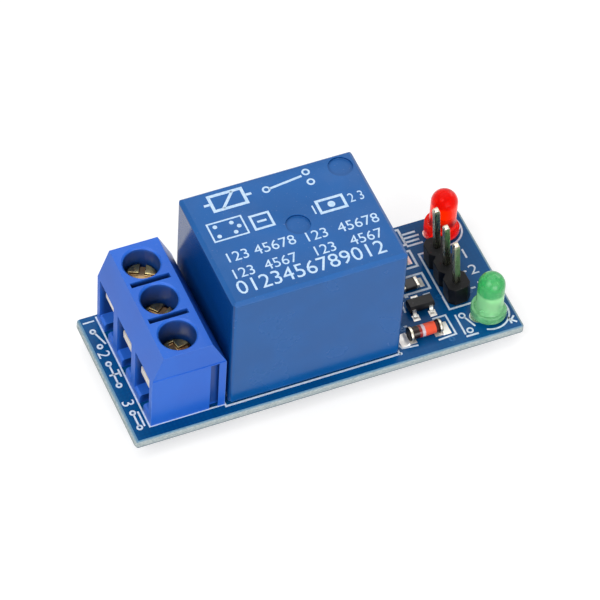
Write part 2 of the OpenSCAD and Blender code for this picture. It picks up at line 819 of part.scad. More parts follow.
module transistor_leads() {
    t = tr_lead_t;
    mid = film + 0.1 + tr_size[2] * 0.42;
    out = tr_size[1] / 2;
    end = tr_span / 2;
    color([0.8, 0.8, 0.8])
    on_board() for (p = tr_feet()) {
        translate([p[0], p[1], film + 0.1]) rotate([0, 0, 90 * p[2]])
            profile_y([[out - 0.3, mid], [out + 0.12, mid], [out + 0.22, t], [end, t], [end, 0],
                [out + 0.12, 0], [out + 0.04, mid - t], [out - 0.3, mid - t]], tr_lead_w);
    }
}

module transistor_body() {
    draft = 0.1;
    l = tr_size[0];
    w = tr_size[1];
    h = tr_size[2];
    color([0.14, 0.13, 0.13])
    difference() {
        on_board() translate([tr_pos[0], tr_pos[1], film + 0.12]) {
            intersection() {
                profile_y([[-l / 2 + draft, 0], [-l / 2, 0.45 * h], [-l / 2 + draft, h],
                    [l / 2 - draft, h], [l / 2, 0.45 * h], [l / 2 - draft, 0]], w);
                rotate([0, 0, 90])
                    profile_y([[-w / 2 + draft, 0], [-w / 2, 0.45 * h], [-w / 2 + draft, h],
                        [w / 2 - draft, h], [w / 2, 0.45 * h], [w / 2 - draft, 0]], l);
            }
        }
        transistor_leads();
    }
}

module at_diode() {
    on_board() translate([diode_pos[0], diode_pos[1], film + diode_d / 2]) rotate([0, 90, 0]) children();
}

module diode_glass() {
    l = diode_l - 2 * cap_l;
    color([0.85, 0.3, 0.15])
    at_diode() difference() {
        cylinder(h = l, d = glass_d, center = true);
        cylinder(h = l + 1, d = 0.75, center = true);
    }
}

module diode_caps() {
    color([0.8, 0.78, 0.74])
    at_diode() for (s = [0, 180]) {
        rotate([s, 0, 0]) {
            translate([0, 0, diode_l / 2 - cap_l]) cylinder(h = cap_l, d = diode_d);
            translate([0, 0, 0.1]) cylinder(h = diode_l / 2 - cap_l, d = 0.75);
        }
    }
}

module diode_chip() {
    color([0.3, 0.3, 0.33])
    at_diode() cube([0.45, 0.45, 0.2], center = true);
}

module resistor_chips() {
    l = res_size[0] - 2 * res_cap;
    color([0.15, 0.14, 0.14])
    on_board() for (y = res_y) {
        translate([res_x, y, film]) {
            slab([l, res_size[1], res_size[2] - 0.05]);
            slab([l - 0.15, res_size[1] - 0.15, 0.05], res_size[2] - 0.05);
        }
    }
}

module resistor_caps() {
    color([0.8, 0.78, 0.72])
    on_board() for (y = res_y) {
        for (s = [-1, 1]) {
            translate([res_x + s * (res_size[0] - res_cap) / 2, y, film])
                slab([res_cap, res_size[1], res_size[2]]);
        }
    }
}

circuit_board();
pin_solder();
top_solder();
terminal_housing();
terminal_contacts();
clamp_plate_1();
clamp_plate_2();
clamp_plate_3();
clamp_screw_1();
clamp_screw_2();
clamp_screw_3();
relay_cover();
relay_base();
relay_bobbin();
relay_winding();
relay_core();
relay_yoke();
relay_armature();
relay_contact_spring();
relay_open_contact();
relay_closed_contact();
relay_coil_leads();
header_carrier();
header_pins();
green_lamp_lens();
green_lamp_leads();
red_lamp_lens();
red_lamp_leads();
transistor_body();
transistor_leads();
diode_glass();
diode_caps();
diode_chip();
resistor_chips();
resistor_caps();
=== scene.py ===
"""Looks of a one-channel relay module board.

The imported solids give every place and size. This script dresses them, softens the moulded edges,
and adds what is too fine for the solids: printed legends, pads, tracks, solder, threads and windings.
Lengths are in metres in the part's own frame, with the wire terminals at -X and the lamps at +X.
Only what is printed is drawn in millimetres.
"""

from __future__ import annotations

import json
import logging
import math
from collections.abc import Callable, Iterable, Sequence
from dataclasses import dataclass, field
from enum import Enum

import bmesh
import bpy
import numpy as np
from mathutils import Euler, Matrix, Vector

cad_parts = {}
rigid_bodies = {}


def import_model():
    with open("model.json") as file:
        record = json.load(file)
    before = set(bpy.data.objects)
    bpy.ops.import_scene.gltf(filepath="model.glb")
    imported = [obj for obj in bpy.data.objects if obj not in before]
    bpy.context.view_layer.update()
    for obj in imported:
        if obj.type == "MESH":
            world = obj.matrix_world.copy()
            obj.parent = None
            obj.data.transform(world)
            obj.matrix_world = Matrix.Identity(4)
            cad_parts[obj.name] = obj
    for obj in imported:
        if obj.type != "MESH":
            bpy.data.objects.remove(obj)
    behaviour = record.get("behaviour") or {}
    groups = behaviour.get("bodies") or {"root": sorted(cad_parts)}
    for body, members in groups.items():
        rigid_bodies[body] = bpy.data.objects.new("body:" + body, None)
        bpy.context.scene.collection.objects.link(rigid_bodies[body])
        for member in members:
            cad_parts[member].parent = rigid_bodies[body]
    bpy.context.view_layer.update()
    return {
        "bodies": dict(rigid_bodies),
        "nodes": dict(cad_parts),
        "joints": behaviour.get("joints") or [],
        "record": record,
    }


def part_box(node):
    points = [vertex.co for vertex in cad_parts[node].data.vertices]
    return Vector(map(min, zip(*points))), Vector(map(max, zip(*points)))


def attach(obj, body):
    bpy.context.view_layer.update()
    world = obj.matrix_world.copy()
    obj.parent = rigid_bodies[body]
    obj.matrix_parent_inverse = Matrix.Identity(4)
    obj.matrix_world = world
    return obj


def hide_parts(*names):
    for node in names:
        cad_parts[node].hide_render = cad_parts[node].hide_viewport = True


LOG = logging.getLogger("relay_board")
MM = 0.001
BOARD = "board_assembly"
POLES = (1, 2, 3)
SLOT_REFLECTION = "stain"
JOIN_DISTANCE = 1e-6
FLAT_ANGLE = math.radians(0.6)
FLOW_STEP = 0.6
INK_FOOT = 0.002 * MM
DISC_STEPS = 20
ARC_STEP = 9

Colour = tuple[float, float, float, float]
Point = tuple[float, float]
Box = tuple[Vector, Vector]
Socket = bpy.types.NodeSocket
Outputs = bpy.types.bpy_prop_collection
WHITE: Colour = (1, 1, 1, 1)
BOX_INPUTS: dict[str, object] = {"Centre": (0, 0, 0), "Half": (1, 1, 1)}


def paint(red: int, green: int, blue: int) -> Colour:
    """Turn a display colour into the linear colour that the shaders take.

    Args:
        red: Red from 0 to 255.
        green: Green from 0 to 255.
        blue: Blue from 0 to 255.

    Returns:
        The linear colour with full opacity.
    """
    shares = [part / 255 for part in (red, green, blue)]
    linear = [share / 12.92 if share <= 0.04045 else ((share + 0.055) / 1.055) ** 2.4 for share in shares]
    return (linear[0], linear[1], linear[2], 1.0)


# ---------- node trees ----------


class Tree:
    """Makes nodes and links in one node tree."""

    def __init__(self, tree: bpy.types.NodeTree) -> None:
        """Keep the tree that the nodes go into."""
        self.tree = tree

    def node(self, kind: str, **settings: object) -> bpy.types.Node:
        """Add a node and set its properties.

        Args:
            kind: Kind of the node.
            **settings: Value of each property, by name.

        Returns:
            The node.
        """
        made = self.tree.nodes.new(kind)
        for key, value in settings.items():
            setattr(made, key, value)
        return made

    def feed(self, socket: Socket, value: object) -> None:
        """Link a socket to an input, or set the input's own value.

        Args:
            socket: The input.
            value: The socket to link, or the value to set.
        """
        if isinstance(value, bpy.types.NodeSocket):
            self.tree.links.new(value, socket)
        else:
            socket.default_value = value

    def wire(self, target: bpy.types.Node, inputs: dict[str, object]) -> Outputs:
        """Feed inputs of a node by name.

        Args:
            target: The node.
            inputs: Socket or value of each input, by name.

        Returns:
            The node's outputs.
        """
        for label, value in inputs.items():
            self.feed(target.inputs[label], value)
        return target.outputs

    def line_up(self, target: bpy.types.Node, *values: object) -> Outputs:
        """Feed the first inputs of a node in their order.

        Args:
            target: The node.
            *values: Socket or value of each input.

        Returns:
            The node's outputs.
        """
        for socket, value in zip(target.inputs, values):
            self.feed(socket, value)
        return target.outputs

    def math(self, operation: str, *values: object, clamp: bool = False) -> Socket:
        """Add a Math node and give back its result."""
        return self.line_up(self.node("ShaderNodeMath", operation=operation, use_clamp=clamp), *values)[0]

    def vector(self, operation: str, *values: object) -> Socket:
        """Add a Vector Math node and give back its vector."""
        return self.line_up(self.node("ShaderNodeVectorMath", operation=operation), *values)[0]

    def split(self, vector: Socket) -> list[Socket]:
        """Give back the three parts of a vector."""
        return list(self.line_up(self.node("ShaderNodeSeparateXYZ"), vector))

    def place(self) -> Socket:
        """Give the place on the object."""
        return self.node("ShaderNodeTexCoord").outputs["Object"]

    def height(self) -> Socket:
        """Give the height on the object."""
        return self.split(self.place())[2]

    def facing(self) -> list[Socket]:
        """Give how squarely the surface faces along X, Y and Z, from 0 to 1."""
        return self.split(self.vector("ABSOLUTE", self.node("ShaderNodeNewGeometry").outputs["Normal"]))

    def blend(self, share: object, first: object, second: object) -> Socket:
        """Mix two colours.

        Args:
            share: Share of the second colour.
            first: First colour.
            second: Second colour.

        Returns:
            The mixed colour.
        """
        made = self.node("ShaderNodeMix", data_type="RGBA")
        # the colour inputs come after those for numbers and vectors
        for index, value in ((0, share), (6, first), (7, second)):
            self.feed(made.inputs[index], value)
        return made.outputs[2]

    def between(self, value: Socket, low: float, high: float, start: float = 0.0, end: float = 1.0) -> Socket:
        """Carry a value from one range smoothly into another.

        Args:
            value: The value to carry over.
            low: Value that becomes start.
            high: Value that becomes end.
            start: Result at or before low.
            end: Result at or after high.

        Returns:
            The carried value.
        """
        made = self.node("ShaderNodeMapRange", interpolation_type="SMOOTHSTEP")
        return self.line_up(made, value, low, high, start, end)[0]

    def noise(self, place: object, size: object, detail: float = 3.0, rough: float = 0.55) -> Socket:
        """Add a noise of a given grain size.

        Args:
            place: Vector that the noise reads.
            size: Grain size in metres, as a number or a socket.
            detail: Octaves of the noise.
            rough: Weight of the finer octaves.

        Returns:
            The noise from 0 to 1.
        """
        made = self.node("ShaderNodeTexNoise", noise_dimensions="3D")
        scale = 1 / size if isinstance(size, float) else self.math("DIVIDE", 1.0, size)
        return self.wire(made, {"Vector": place, "Scale": scale, "Detail": detail, "Roughness": rough})["Fac"]


class Effect:
    """A shader node group that several finishes share."""

    def __init__(self, name: str, inputs: dict[str, object], outputs: Sequence[str]) -> None:
        """Make the group with its named sockets.

        Args:
            name: Name of the group.
            inputs: First value of each input by name, a number or three of them.
            outputs: Names of the outputs, which are all values.
        """
        self.group = bpy.data.node_groups.new(name, "ShaderNodeTree")
        face = self.group.interface
        for label, value in inputs.items():
            kind = "NodeSocketVector" if isinstance(value, tuple) else "NodeSocketFloat"
            face.new_socket(label, in_out="INPUT", socket_type=kind).default_value = value
        for label in outputs:
            face.new_socket(label, in_out="OUTPUT", socket_type="NodeSocketFloat")
        self.kit = Tree(self.group)
        self.entry = self.kit.node("NodeGroupInput").outputs
        self.exit = self.kit.node("NodeGroupOutput").inputs
        self.place = self.kit.place()

    def inward(self) -> list[Socket]:
        """Give how deep a point lies inside each pair of a box's sides."""
        offset = self.kit.vector("ABSOLUTE", self.kit.vector("SUBTRACT", self.place, self.entry["Centre"]))
        return self.kit.split(self.kit.vector("SUBTRACT", self.entry["Half"], offset))

    def use(self, kit: Tree, **values: object) -> Outputs:
        """Place the group in a material.

        Args:
            kit: Tree of the material.
            **values: Value of each input, by name.

        Returns:
            The outputs of the placed group.
        """
        return kit.wire(kit.node("ShaderNodeGroup", node_tree=self.group), values)


class Effects:
    """The shared surface effects, each built once."""

    def __init__(self) -> None:
        """Build every effect."""
        self.skin = self._skin()
        # the edge mask carries a painted highlight, the recess mask painted shade
        self.edge = self._edge()
        self.recess = self._recess()
        self.dust = self._dust()
        self.streaks = self._streaks()
        self.weave = self._weave()

    @staticmethod
    def _skin() -> Effect:
        """Build the fine grain and slow mottle of a moulded surface.

        Returns:
            The effect.
        """
        made = Effect("moulded_skin", {"Grain": 0.2 * MM, "Mottle": 4 * MM}, ("Height", "Tone"))
        slow = made.kit.noise(made.place, made.entry["Mottle"], 4.0, 0.5)
        made.kit.feed(made.exit["Height"], made.kit.noise(made.place, made.entry["Grain"], 2.0, 0.6))
        made.kit.feed(made.exit["Tone"], made.kit.between(slow, 0.3, 0.7))
        return made

    @staticmethod
    def _edge() -> Effect:
        """Build the mask of a box's edges for a painted highlight, broken up by noise.

        Returns:
            The effect.
        """
        made = Effect("painted_edge_highlight", {**BOX_INPUTS, "Width": 0.3 * MM}, ("Mask",))
        kit = made.kit
        x, y, z = (kit.math("ABSOLUTE", part) for part in made.inward())
        inner = kit.math("MINIMUM", kit.math("MAXIMUM", x, y), z)
        # the middle one of three distances is small along an edge
        middle = kit.math("MAXIMUM", kit.math("MINIMUM", x, y), inner)
        near = kit.math("SUBTRACT", 1.0, kit.math("DIVIDE", middle, made.entry["Width"]), clamp=True)
        broken = kit.between(kit.noise(made.place, 1.1 * MM, 3.0, 0.6), 0.25, 0.6, 0.35, 1.0)
        kit.feed(made.exit["Mask"], kit.math("MULTIPLY", near, broken))
        return made

    @staticmethod
    def _recess() -> Effect:
        """Build the mask of painted shade on upright walls inside a box, and on all that lies deeper in it.

        Returns:
            The effect.
        """
        made = Effect("painted_recess_shade", {**BOX_INPUTS, "Reach": 1 * MM}, ("Mask",))
        kit = made.kit
        x, y, z = made.inward()
        depth = kit.math("MINIMUM", kit.math("MINIMUM", x, y), z)
        deep = kit.math("DIVIDE", kit.math("SUBTRACT", depth, 0.06 * MM), made.entry["Reach"], clamp=True)
        wall = kit.math("MULTIPLY", deep, kit.between(kit.facing()[2], 0.2, 0.35, 1.0, 0.0))
        within = kit.between(depth, 1.2 * MM, 3 * MM, 0.0, 0.9)
        kit.feed(made.exit["Mask"], kit.math("MAXIMUM", wall, within))
        return made

    @staticmethod
    def _dust() -> Effect:
        """Build the mask of fine dust, which lies on what faces up.

        Returns:
            The effect.
        """
        made = Effect("settled_dust", {"Amount": 0.5}, ("Mask",))
        kit = made.kit
        up = kit.between(kit.split(kit.node("ShaderNodeNewGeometry").outputs["Normal"])[2], 0.2, 0.9)
        specks = kit.between(kit.noise(made.place, 0.22 * MM, 2.0, 0.5), 0.66, 0.74)
        film = kit.between(kit.noise(made.place, 3 * MM, 3.0, 0.5), 0.4, 0.8, 0.0, 0.25)
        mask = kit.math("MULTIPLY", kit.math("ADD", specks, film), up)
        kit.feed(made.exit["Mask"], kit.math("MULTIPLY", mask, made.entry["Amount"], clamp=True))
        return made

    @staticmethod
    def _streaks() -> Effect:
        """Build the drawn streaks and tarnish of metal.

        Returns:
            The effect.
        """
        made = Effect("metal_streaks", {"Stretch": (1, 1, 12), "Size": 0.2 * MM}, ("Tone", "Tarnish"))
        kit = made.kit
        drawn = kit.vector("DIVIDE", made.place, made.entry["Stretch"])
        kit.feed(made.exit["Tone"], kit.between(kit.noise(drawn, made.entry["Size"], 4.0, 0.6), 0.3, 0.7))
        kit.feed(made.exit["Tarnish"], kit.between(kit.noise(made.place, 0.9 * MM, 4.0, 0.6), 0.45, 0.75))
        return made

    @staticmethod
    def _weave() -> Effect:
        """Build the glass cloth that shows faintly through the mask.

        Returns:
            The effect.
        """
        made = Effect("glass_cloth", {"Thread": 0.5 * MM}, ("Height",))
        kit = made.kit
        # at a scale of 1 a band of the wave texture is a tenth of pi wide
        scale = kit.math("DIVIDE", 0.314, made.entry["Thread"])
        waves = [kit.node("ShaderNodeTexWave", wave_type="BANDS", bands_direction=way) for way in "XY"]
        across, along = (
            kit.wire(wave, {"Vector": made.place, "Scale": scale, "Distortion": 1.2})["Fac"] for wave in waves
        )
        kit.feed(made.exit["Height"], kit.math("MULTIPLY", across, along))
        return made


# ---------- finishes ----------


@dataclass(frozen=True)
class BoxEdge:
    """The box whose edges get a painted highlight and whose recesses get painted shade, from the node that
    has them.
    """

    node: str
    width: float = 0.3 * MM

    def values(self) -> dict[str, object]:
        """Give the box's middle and half its sides."""
        low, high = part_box(self.node)
        return {"Centre": (low + high) / 2, "Half": (high - low) / 2}


@dataclass(frozen=True)
class Finish:
    """What every finish has: a name, and a material that it builds."""

    name: str

    def surface(self, kit: Tree, effects: Effects) -> dict[str, object]:
        """Give what the finish feeds to its shader."""
        raise NotImplementedError(self.name)

    def build(self, effects: Effects) -> bpy.types.Material:
        """Build the material.

        Args:
            effects: The shared surface effects.

        Returns:
            The finished material.
        """
        material = bpy.data.materials.new(self.name)
        material.use_nodes = True
        kit = Tree(material.node_tree)
        kit.wire(material.node_tree.nodes["Principled BSDF"], self.surface(kit, effects))
        return material

    @staticmethod
    def relief(kit: Tree, height: object, depth: float, strength: float = 1.0) -> Socket:
        """Make a fine relief.

        Args:
            kit: Tree of the material.
            height: Height from 0 to 1.
            depth: Depth of the relief in metres.
            strength: Share of the relief that shows.

        Returns:
            The normal of the surface with its relief.
        """
        bump = kit.node("ShaderNodeBump")
        return kit.wire(bump, {"Strength": strength, "Distance": depth, "Height": height})["Normal"]


@dataclass(frozen=True)
class Moulded(Finish):
    """Moulded plastic with a fine grain."""

    colour: Colour
    shade: Colour
    roughness: float = 0.45
    upright_roughness: float = 0.3
    grain: float = 0.14 * MM
    depth: float = 0.003 * MM
    dust: float = 0.08
    dust_colour: Colour = paint(205, 208, 214)
    edge: BoxEdge | None = None
    # a lighter colour along the box's edges, a painted highlight
    edge_colour: Colour = WHITE
    edge_share: float = 0.35
    # how far the recess mask reaches, and the darker colour there, a painted shade
    reach: float = 1.0 * MM
    recess_colour: Colour = WHITE
    shine: float = 0.4
    # darker colour on the faces along X, a painted shade
    polished: Colour | None = None

    def surface(self, kit: Tree, effects: Effects) -> dict[str, object]:
        """Lay grain, a painted highlight on the edges, painted shade in the recesses and, where given, on the
        faces along X, and dust over the plastic.

        Args:
            kit: Tree of the material.
            effects: The shared surface effects.

        Returns:
            Socket or value of each input of the shader, by name.
        """
        skin = effects.skin.use(kit, Grain=self.grain)
        colour = kit.blend(skin["Tone"], self.shade, self.colour)
        # a painted highlight along the edges, then painted shade in the recesses
        if self.edge:
            box = self.edge.values()
            mask = effects.edge.use(kit, **box, Width=self.edge.width)["Mask"]
            colour = kit.blend(kit.math("MULTIPLY", mask, self.edge_share), colour, self.edge_colour)
            mask = effects.recess.use(kit, **box, Reach=self.reach)["Mask"]
            colour = kit.blend(mask, colour, self.recess_colour)
        facing = kit.facing()
        rough = kit.between(facing[2], 0.35, 0.8, self.upright_roughness, self.roughness)
        # faces along X take a darker colour, a painted shade, and a little less roughness
        if self.polished:
            ends = kit.between(facing[0], 0.7, 0.95)
            colour = kit.blend(ends, colour, self.polished)
            rough = kit.math("MULTIPLY_ADD", ends, -0.1, rough)
        dust = effects.dust.use(kit, Amount=self.dust)["Mask"]
        rough = kit.math("MULTIPLY_ADD", skin["Tone"], 0.06, rough)
        return {
            "Base Color": kit.blend(dust, colour, self.dust_colour),
            "Roughness": kit.math("MULTIPLY_ADD", dust, 0.3, rough, clamp=True),
            "Specular IOR Level": self.shine,
            "Normal": self.relief(kit, skin["Height"], self.depth),
        }


@dataclass(frozen=True)
class Metal(Finish):
    """Plated or drawn metal."""

    colour: Colour
    tarnish: Colour
    roughness: float = 0.3
    metallic: float = 1.0
    stretch: tuple[float, float, float] = (1, 1, 12)
    size: float = 0.12 * MM
    depth: float = 0.003 * MM
    tip_node: str = ""
    tip_length: float = 0.5 * MM
    tip_colour: Colour = WHITE
    tinned_under: str = ""
    tin: Colour = paint(224, 224, 220)
    stain: Colour | None = None

    def surface(self, kit: Tree, effects: Effects) -> dict[str, object]:
        """Lay streaks, tarnish, a tinned end and a painted reflection in the slots over the metal.

        Args:
            kit: Tree of the material.
            effects: The shared surface effects.

        Returns:
            Socket or value of each input of the shader, by name.
        """
        marks = effects.streaks.use(kit, Stretch=self.stretch, Size=self.size)
        worn = kit.math("MULTIPLY", marks["Tarnish"], 0.6)
        colour = kit.blend(worn, self.colour, self.tarnish)
        if self.tip_node:
            ragged = kit.math("MULTIPLY_ADD", marks["Tone"], 0.25 * MM, kit.height())
            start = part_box(self.tip_node)[1].z - self.tip_length
            colour = kit.blend(kit.between(ragged, start, start + 0.15 * MM), colour, self.tip_colour)
        if self.tinned_under:
            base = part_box(self.tinned_under)[1].z
            dipped = kit.between(kit.height(), base, base + 0.2 * MM, 1.0, 0.0)
            colour = kit.blend(dipped, colour, self.tin)
        metallic: object = self.metallic
        # a red-brown, less metallic colour where the attribute marks it, a painted reflection
        if self.stain:
            slot_reflected = kit.node("ShaderNodeAttribute", attribute_name=SLOT_REFLECTION).outputs["Fac"]
            colour = kit.blend(slot_reflected, colour, self.stain)
            metallic = kit.math("MULTIPLY_ADD", slot_reflected, -0.75, self.metallic)
        rough = kit.math("MULTIPLY_ADD", marks["Tone"], 0.16, self.roughness - 0.08)
        return {
            "Base Color": colour,
            "Metallic": metallic,
            "Roughness": kit.math("MULTIPLY_ADD", worn, 0.15, rough, clamp=True),
            "Normal": self.relief(kit, marks["Tone"], self.depth),
        }


@dataclass(frozen=True)
class Laminate(Finish):
    """Glass-epoxy board under a blue mask, with its bare sawn sides."""

    mask: Colour = paint(0, 80, 138)
    mask_deep: Colour = paint(0, 68, 122)
    thread: Colour = paint(0, 112, 172)
    core: Colour = paint(196, 204, 202)
    core_dark: Colour = paint(140, 158, 164)
    # darker colour at the foot of the sawn sides, a painted shade
    core_foot: Colour = paint(98, 122, 138)
    core_lip: Colour = paint(52, 124, 166)
    score_depth: float = 0.35 * MM
    mask_roughness: float = 0.24
    core_roughness: float = 0.72
    shine: float = 0.14

    def surface(self, kit: Tree, effects: Effects) -> dict[str, object]:
        """Lay the mask over the cloth, and break the glass fibres open on the sides, with a painted shade
        towards their foot.

        Args:
            kit: Tree of the material.
            effects: The shared surface effects.

        Returns:
            Socket or value of each input of the shader, by name.
        """
        low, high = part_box("circuit_board")
        place = kit.place()
        cloth = effects.weave.use(kit, Thread=0.5 * MM)["Height"]
        tone = effects.skin.use(kit, Grain=0.05 * MM, Mottle=6 * MM)["Tone"]
        mask = kit.blend(tone, self.mask_deep, self.mask)
        mask = kit.blend(kit.math("MULTIPLY", cloth, 0.12), mask, self.thread)
        # fibres lie flat in the board, so their grain is pressed along Z
        fibres = kit.node("ShaderNodeMapping", vector_type="POINT")
        pressed = kit.wire(fibres, {"Vector": place, "Scale": (1.0, 1.0, 5.0)})["Vector"]
        speckle = kit.between(kit.noise(pressed, 0.3 * MM, 4.0, 0.65), 0.35, 0.7)
        core = kit.blend(speckle, self.core, self.core_dark)
        height = kit.split(place)[2]
        # the sides darken towards their foot, a painted shade
        foot = kit.between(height, low.z + 0.1 * MM, low.z + self.score_depth + 0.05 * MM, 0.75, 0.0)
        lip = kit.between(height, high.z - self.score_depth, high.z - 0.05 * MM, 0.0, 0.8)
        core = kit.blend(lip, kit.blend(foot, core, self.core_foot), self.core_lip)
        top = kit.between(kit.facing()[2], 0.85, 0.97)
        grit = kit.math("MULTIPLY", speckle, kit.math("SUBTRACT", 1.0, top))
        smoother = self.mask_roughness - self.core_roughness
        return {
            "Base Color": kit.blend(top, core, mask),
            "Roughness": kit.math("MULTIPLY_ADD", top, smoother, self.core_roughness),
            "Specular IOR Level": self.shine,
            "Normal": self.relief(
                kit, kit.math("ADD", kit.math("MULTIPLY", cloth, 0.25), grit), 0.01 * MM, 0.8
            ),
        }


@dataclass(frozen=True)
class Ink(Finish):
    """Printed ink, thin enough to let a little of its ground through."""

    colour: Colour
    thin: Colour

    def surface(self, kit: Tree, effects: Effects) -> dict[str, object]:
        """Let the ink thin out in patches.

        Args:
            kit: Tree of the material.
            effects: The shared surface effects.

        Returns:
            Socket or value of each input of the shader, by name.
        """
        skin = effects.skin.use(kit, Grain=0.1 * MM, Mottle=0.35 * MM)
        return {
            "Base Color": kit.blend(skin["Tone"], self.thin, self.colour),
            "Roughness": kit.math("MULTIPLY_ADD", skin["Tone"], 0.1, 0.5),
            "Normal": self.relief(kit, skin["Height"], 0.003 * MM),
        }


@dataclass(frozen=True)
class Lens(Finish):
    """Tinted epoxy with a little haze, in zones from its foot to its dome, with painted light, painted shade
    and a painted glow.
    """

    node: str
    foot: Colour
    # the pale zone is painted light inside the epoxy, the band a painted shade
    pale: Colour
    deep: Colour
    band: Colour | None = None
    foot_to_pale: tuple[float, float] = (1.4 * MM, 2.6 * MM)
    band_start: tuple[float, float] = (1.7 * MM, 2.2 * MM)
    band_end: tuple[float, float] = (2.5 * MM, 3.3 * MM)
    dome: tuple[float, float] = (3.5 * MM, 3.9 * MM)
    clear: float = 0.5
    haze: float = 0.24
    # emission that makes the unlit lens glow, a painted glow
    glow: float = 0.12
    shine: float = 0.2
    tint: Colour = WHITE
    coat: float = 0.15

    def surface(self, kit: Tree, effects: Effects) -> dict[str, object]:
        """Lay the zones one over the other, with wavy borders; the pale zone and clouds are painted light,
        the band painted shade.

        Args:
            kit: Tree of the material.
            effects: The shared surface effects.

        Returns:
            Socket or value of each input of the shader, by name.
        """
        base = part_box(self.node)[0].z
        place = kit.place()
        swirl = kit.noise(place, 1.4 * MM, 4.0, 0.6)
        level = kit.split(place)[2]

        def zone(height: Socket, span: tuple[float, float], *ends: float) -> Socket:
            """Give the mask of what lies above a span of heights over the foot."""
            return kit.between(height, base + span[0], base + span[1], *ends)

        # pale zone and pale clouds are painted light, the band painted shade
        wavy = kit.math("MULTIPLY_ADD", swirl, 1.4 * MM, level)
        colour = kit.blend(zone(wavy, self.foot_to_pale), self.foot, self.pale)
        if self.band:
            shade_band = kit.math("MULTIPLY", zone(wavy, self.band_start), zone(wavy, self.band_end, 1.0, 0.0))
            colour = kit.blend(kit.math("MULTIPLY", shade_band, 0.8), colour, self.band)
        crisp = kit.math("MULTIPLY_ADD", swirl, 0.3 * MM, level)
        colour = kit.blend(zone(crisp, self.dome), colour, self.deep)
        cloud = kit.between(kit.noise(place, 0.8 * MM, 3.0, 0.5), 0.5, 0.7, 0.0, 0.25)
        colour = kit.blend(cloud, colour, self.pale)
        skin = effects.skin.use(kit, Grain=0.3 * MM)
        return {
            "Base Color": colour,
            "Roughness": kit.math("MULTIPLY_ADD", skin["Tone"], 0.1, self.haze - 0.05),
            "IOR": 1.5,
            "Transmission Weight": self.clear,
            "Specular IOR Level": self.shine,
            "Specular Tint": self.tint,
            "Coat Weight": self.coat,
            "Coat Roughness": 0.2,
            # the emission makes the unlit lens glow, a painted glow
            "Emission Color": colour,
            "Emission Strength": self.glow,
            "Normal": self.relief(kit, skin["Height"], 0.002 * MM, 0.6),
        }


@dataclass(frozen=True)
class Banded(Finish):
    """Glass or plate whose colour changes in bands along X."""

    bands: tuple[tuple[float, Colour], ...]
    node: str = "diode_caps"
    metallic: float = 0.0
    roughness: float = 0.12
    coat: float = 0.15
    soft: float = 0.04 * MM

    def surface(self, kit: Tree, effects: Effects) -> dict[str, object]:
        """Lay one band after the other.

        Args:
            kit: Tree of the material.
            effects: The shared surface effects.

        Returns:
            Socket or value of each input of the shader, by name.
        """
        low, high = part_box(self.node)
        place = kit.place()
        wobble = kit.math("MULTIPLY_ADD", kit.noise(place, 0.5 * MM), 0.06 * MM, -0.03 * MM)
        along = kit.math("ADD", kit.split(place)[0], wobble)
        colour: object = self.bands[0][1]
        for share, band in self.bands[1:]:
            start = low.x + share * (high.x - low.x)
            colour = kit.blend(kit.between(along, start - self.soft, start + self.soft), colour, band)
        skin = effects.skin.use(kit, Grain=0.2 * MM)
        return {
            "Base Color": colour,
            "Metallic": self.metallic,
            "Roughness": kit.math("MULTIPLY_ADD", skin["Tone"], 0.06, self.roughness),
            "Specular IOR Level": 0.25,
            "Coat Weight": self.coat,
            "Coat Roughness": 0.1,
            "Normal": self.relief(kit, skin["Height"], 0.001 * MM),
        }


class Slot(Enum):
    """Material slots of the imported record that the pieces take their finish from."""

    BOARD = "board_mask"
    SOLDER = "solder"
    TERMINAL = "terminal_blue"
    BRASS = "tinned_brass"
    CLAMP = "clamp_tin"
    SCREW = "screw_zinc"
    RELAY = "relay_blue"
    BASE = "base_blue"
    BOBBIN = "bobbin_white"
    WINDING = "enamelled_copper"
    IRON = "magnet_iron"
    SPRING = "spring_copper"
    LEAD = "lead_tin"
    HEADER = "header_black"
    PIN = "pin_tin"
    GREEN = "lens_green"
    RED = "lens_red"
    PACKAGE = "package_black"
    GLASS = "diode_glass"
    CAP = "cap_silver"
    CHIP = "chip_dark"


class Look(Enum):
    """Finishes that a piece wears in place of its slot's own."""

    DIODE_CAP = "diode_cap_painted_reflection"
    LEGEND = "legend_ink"
    CASE_PRINT = "case_ink"
    PAD = "pad_tin"
    TRACK = "track_mask"


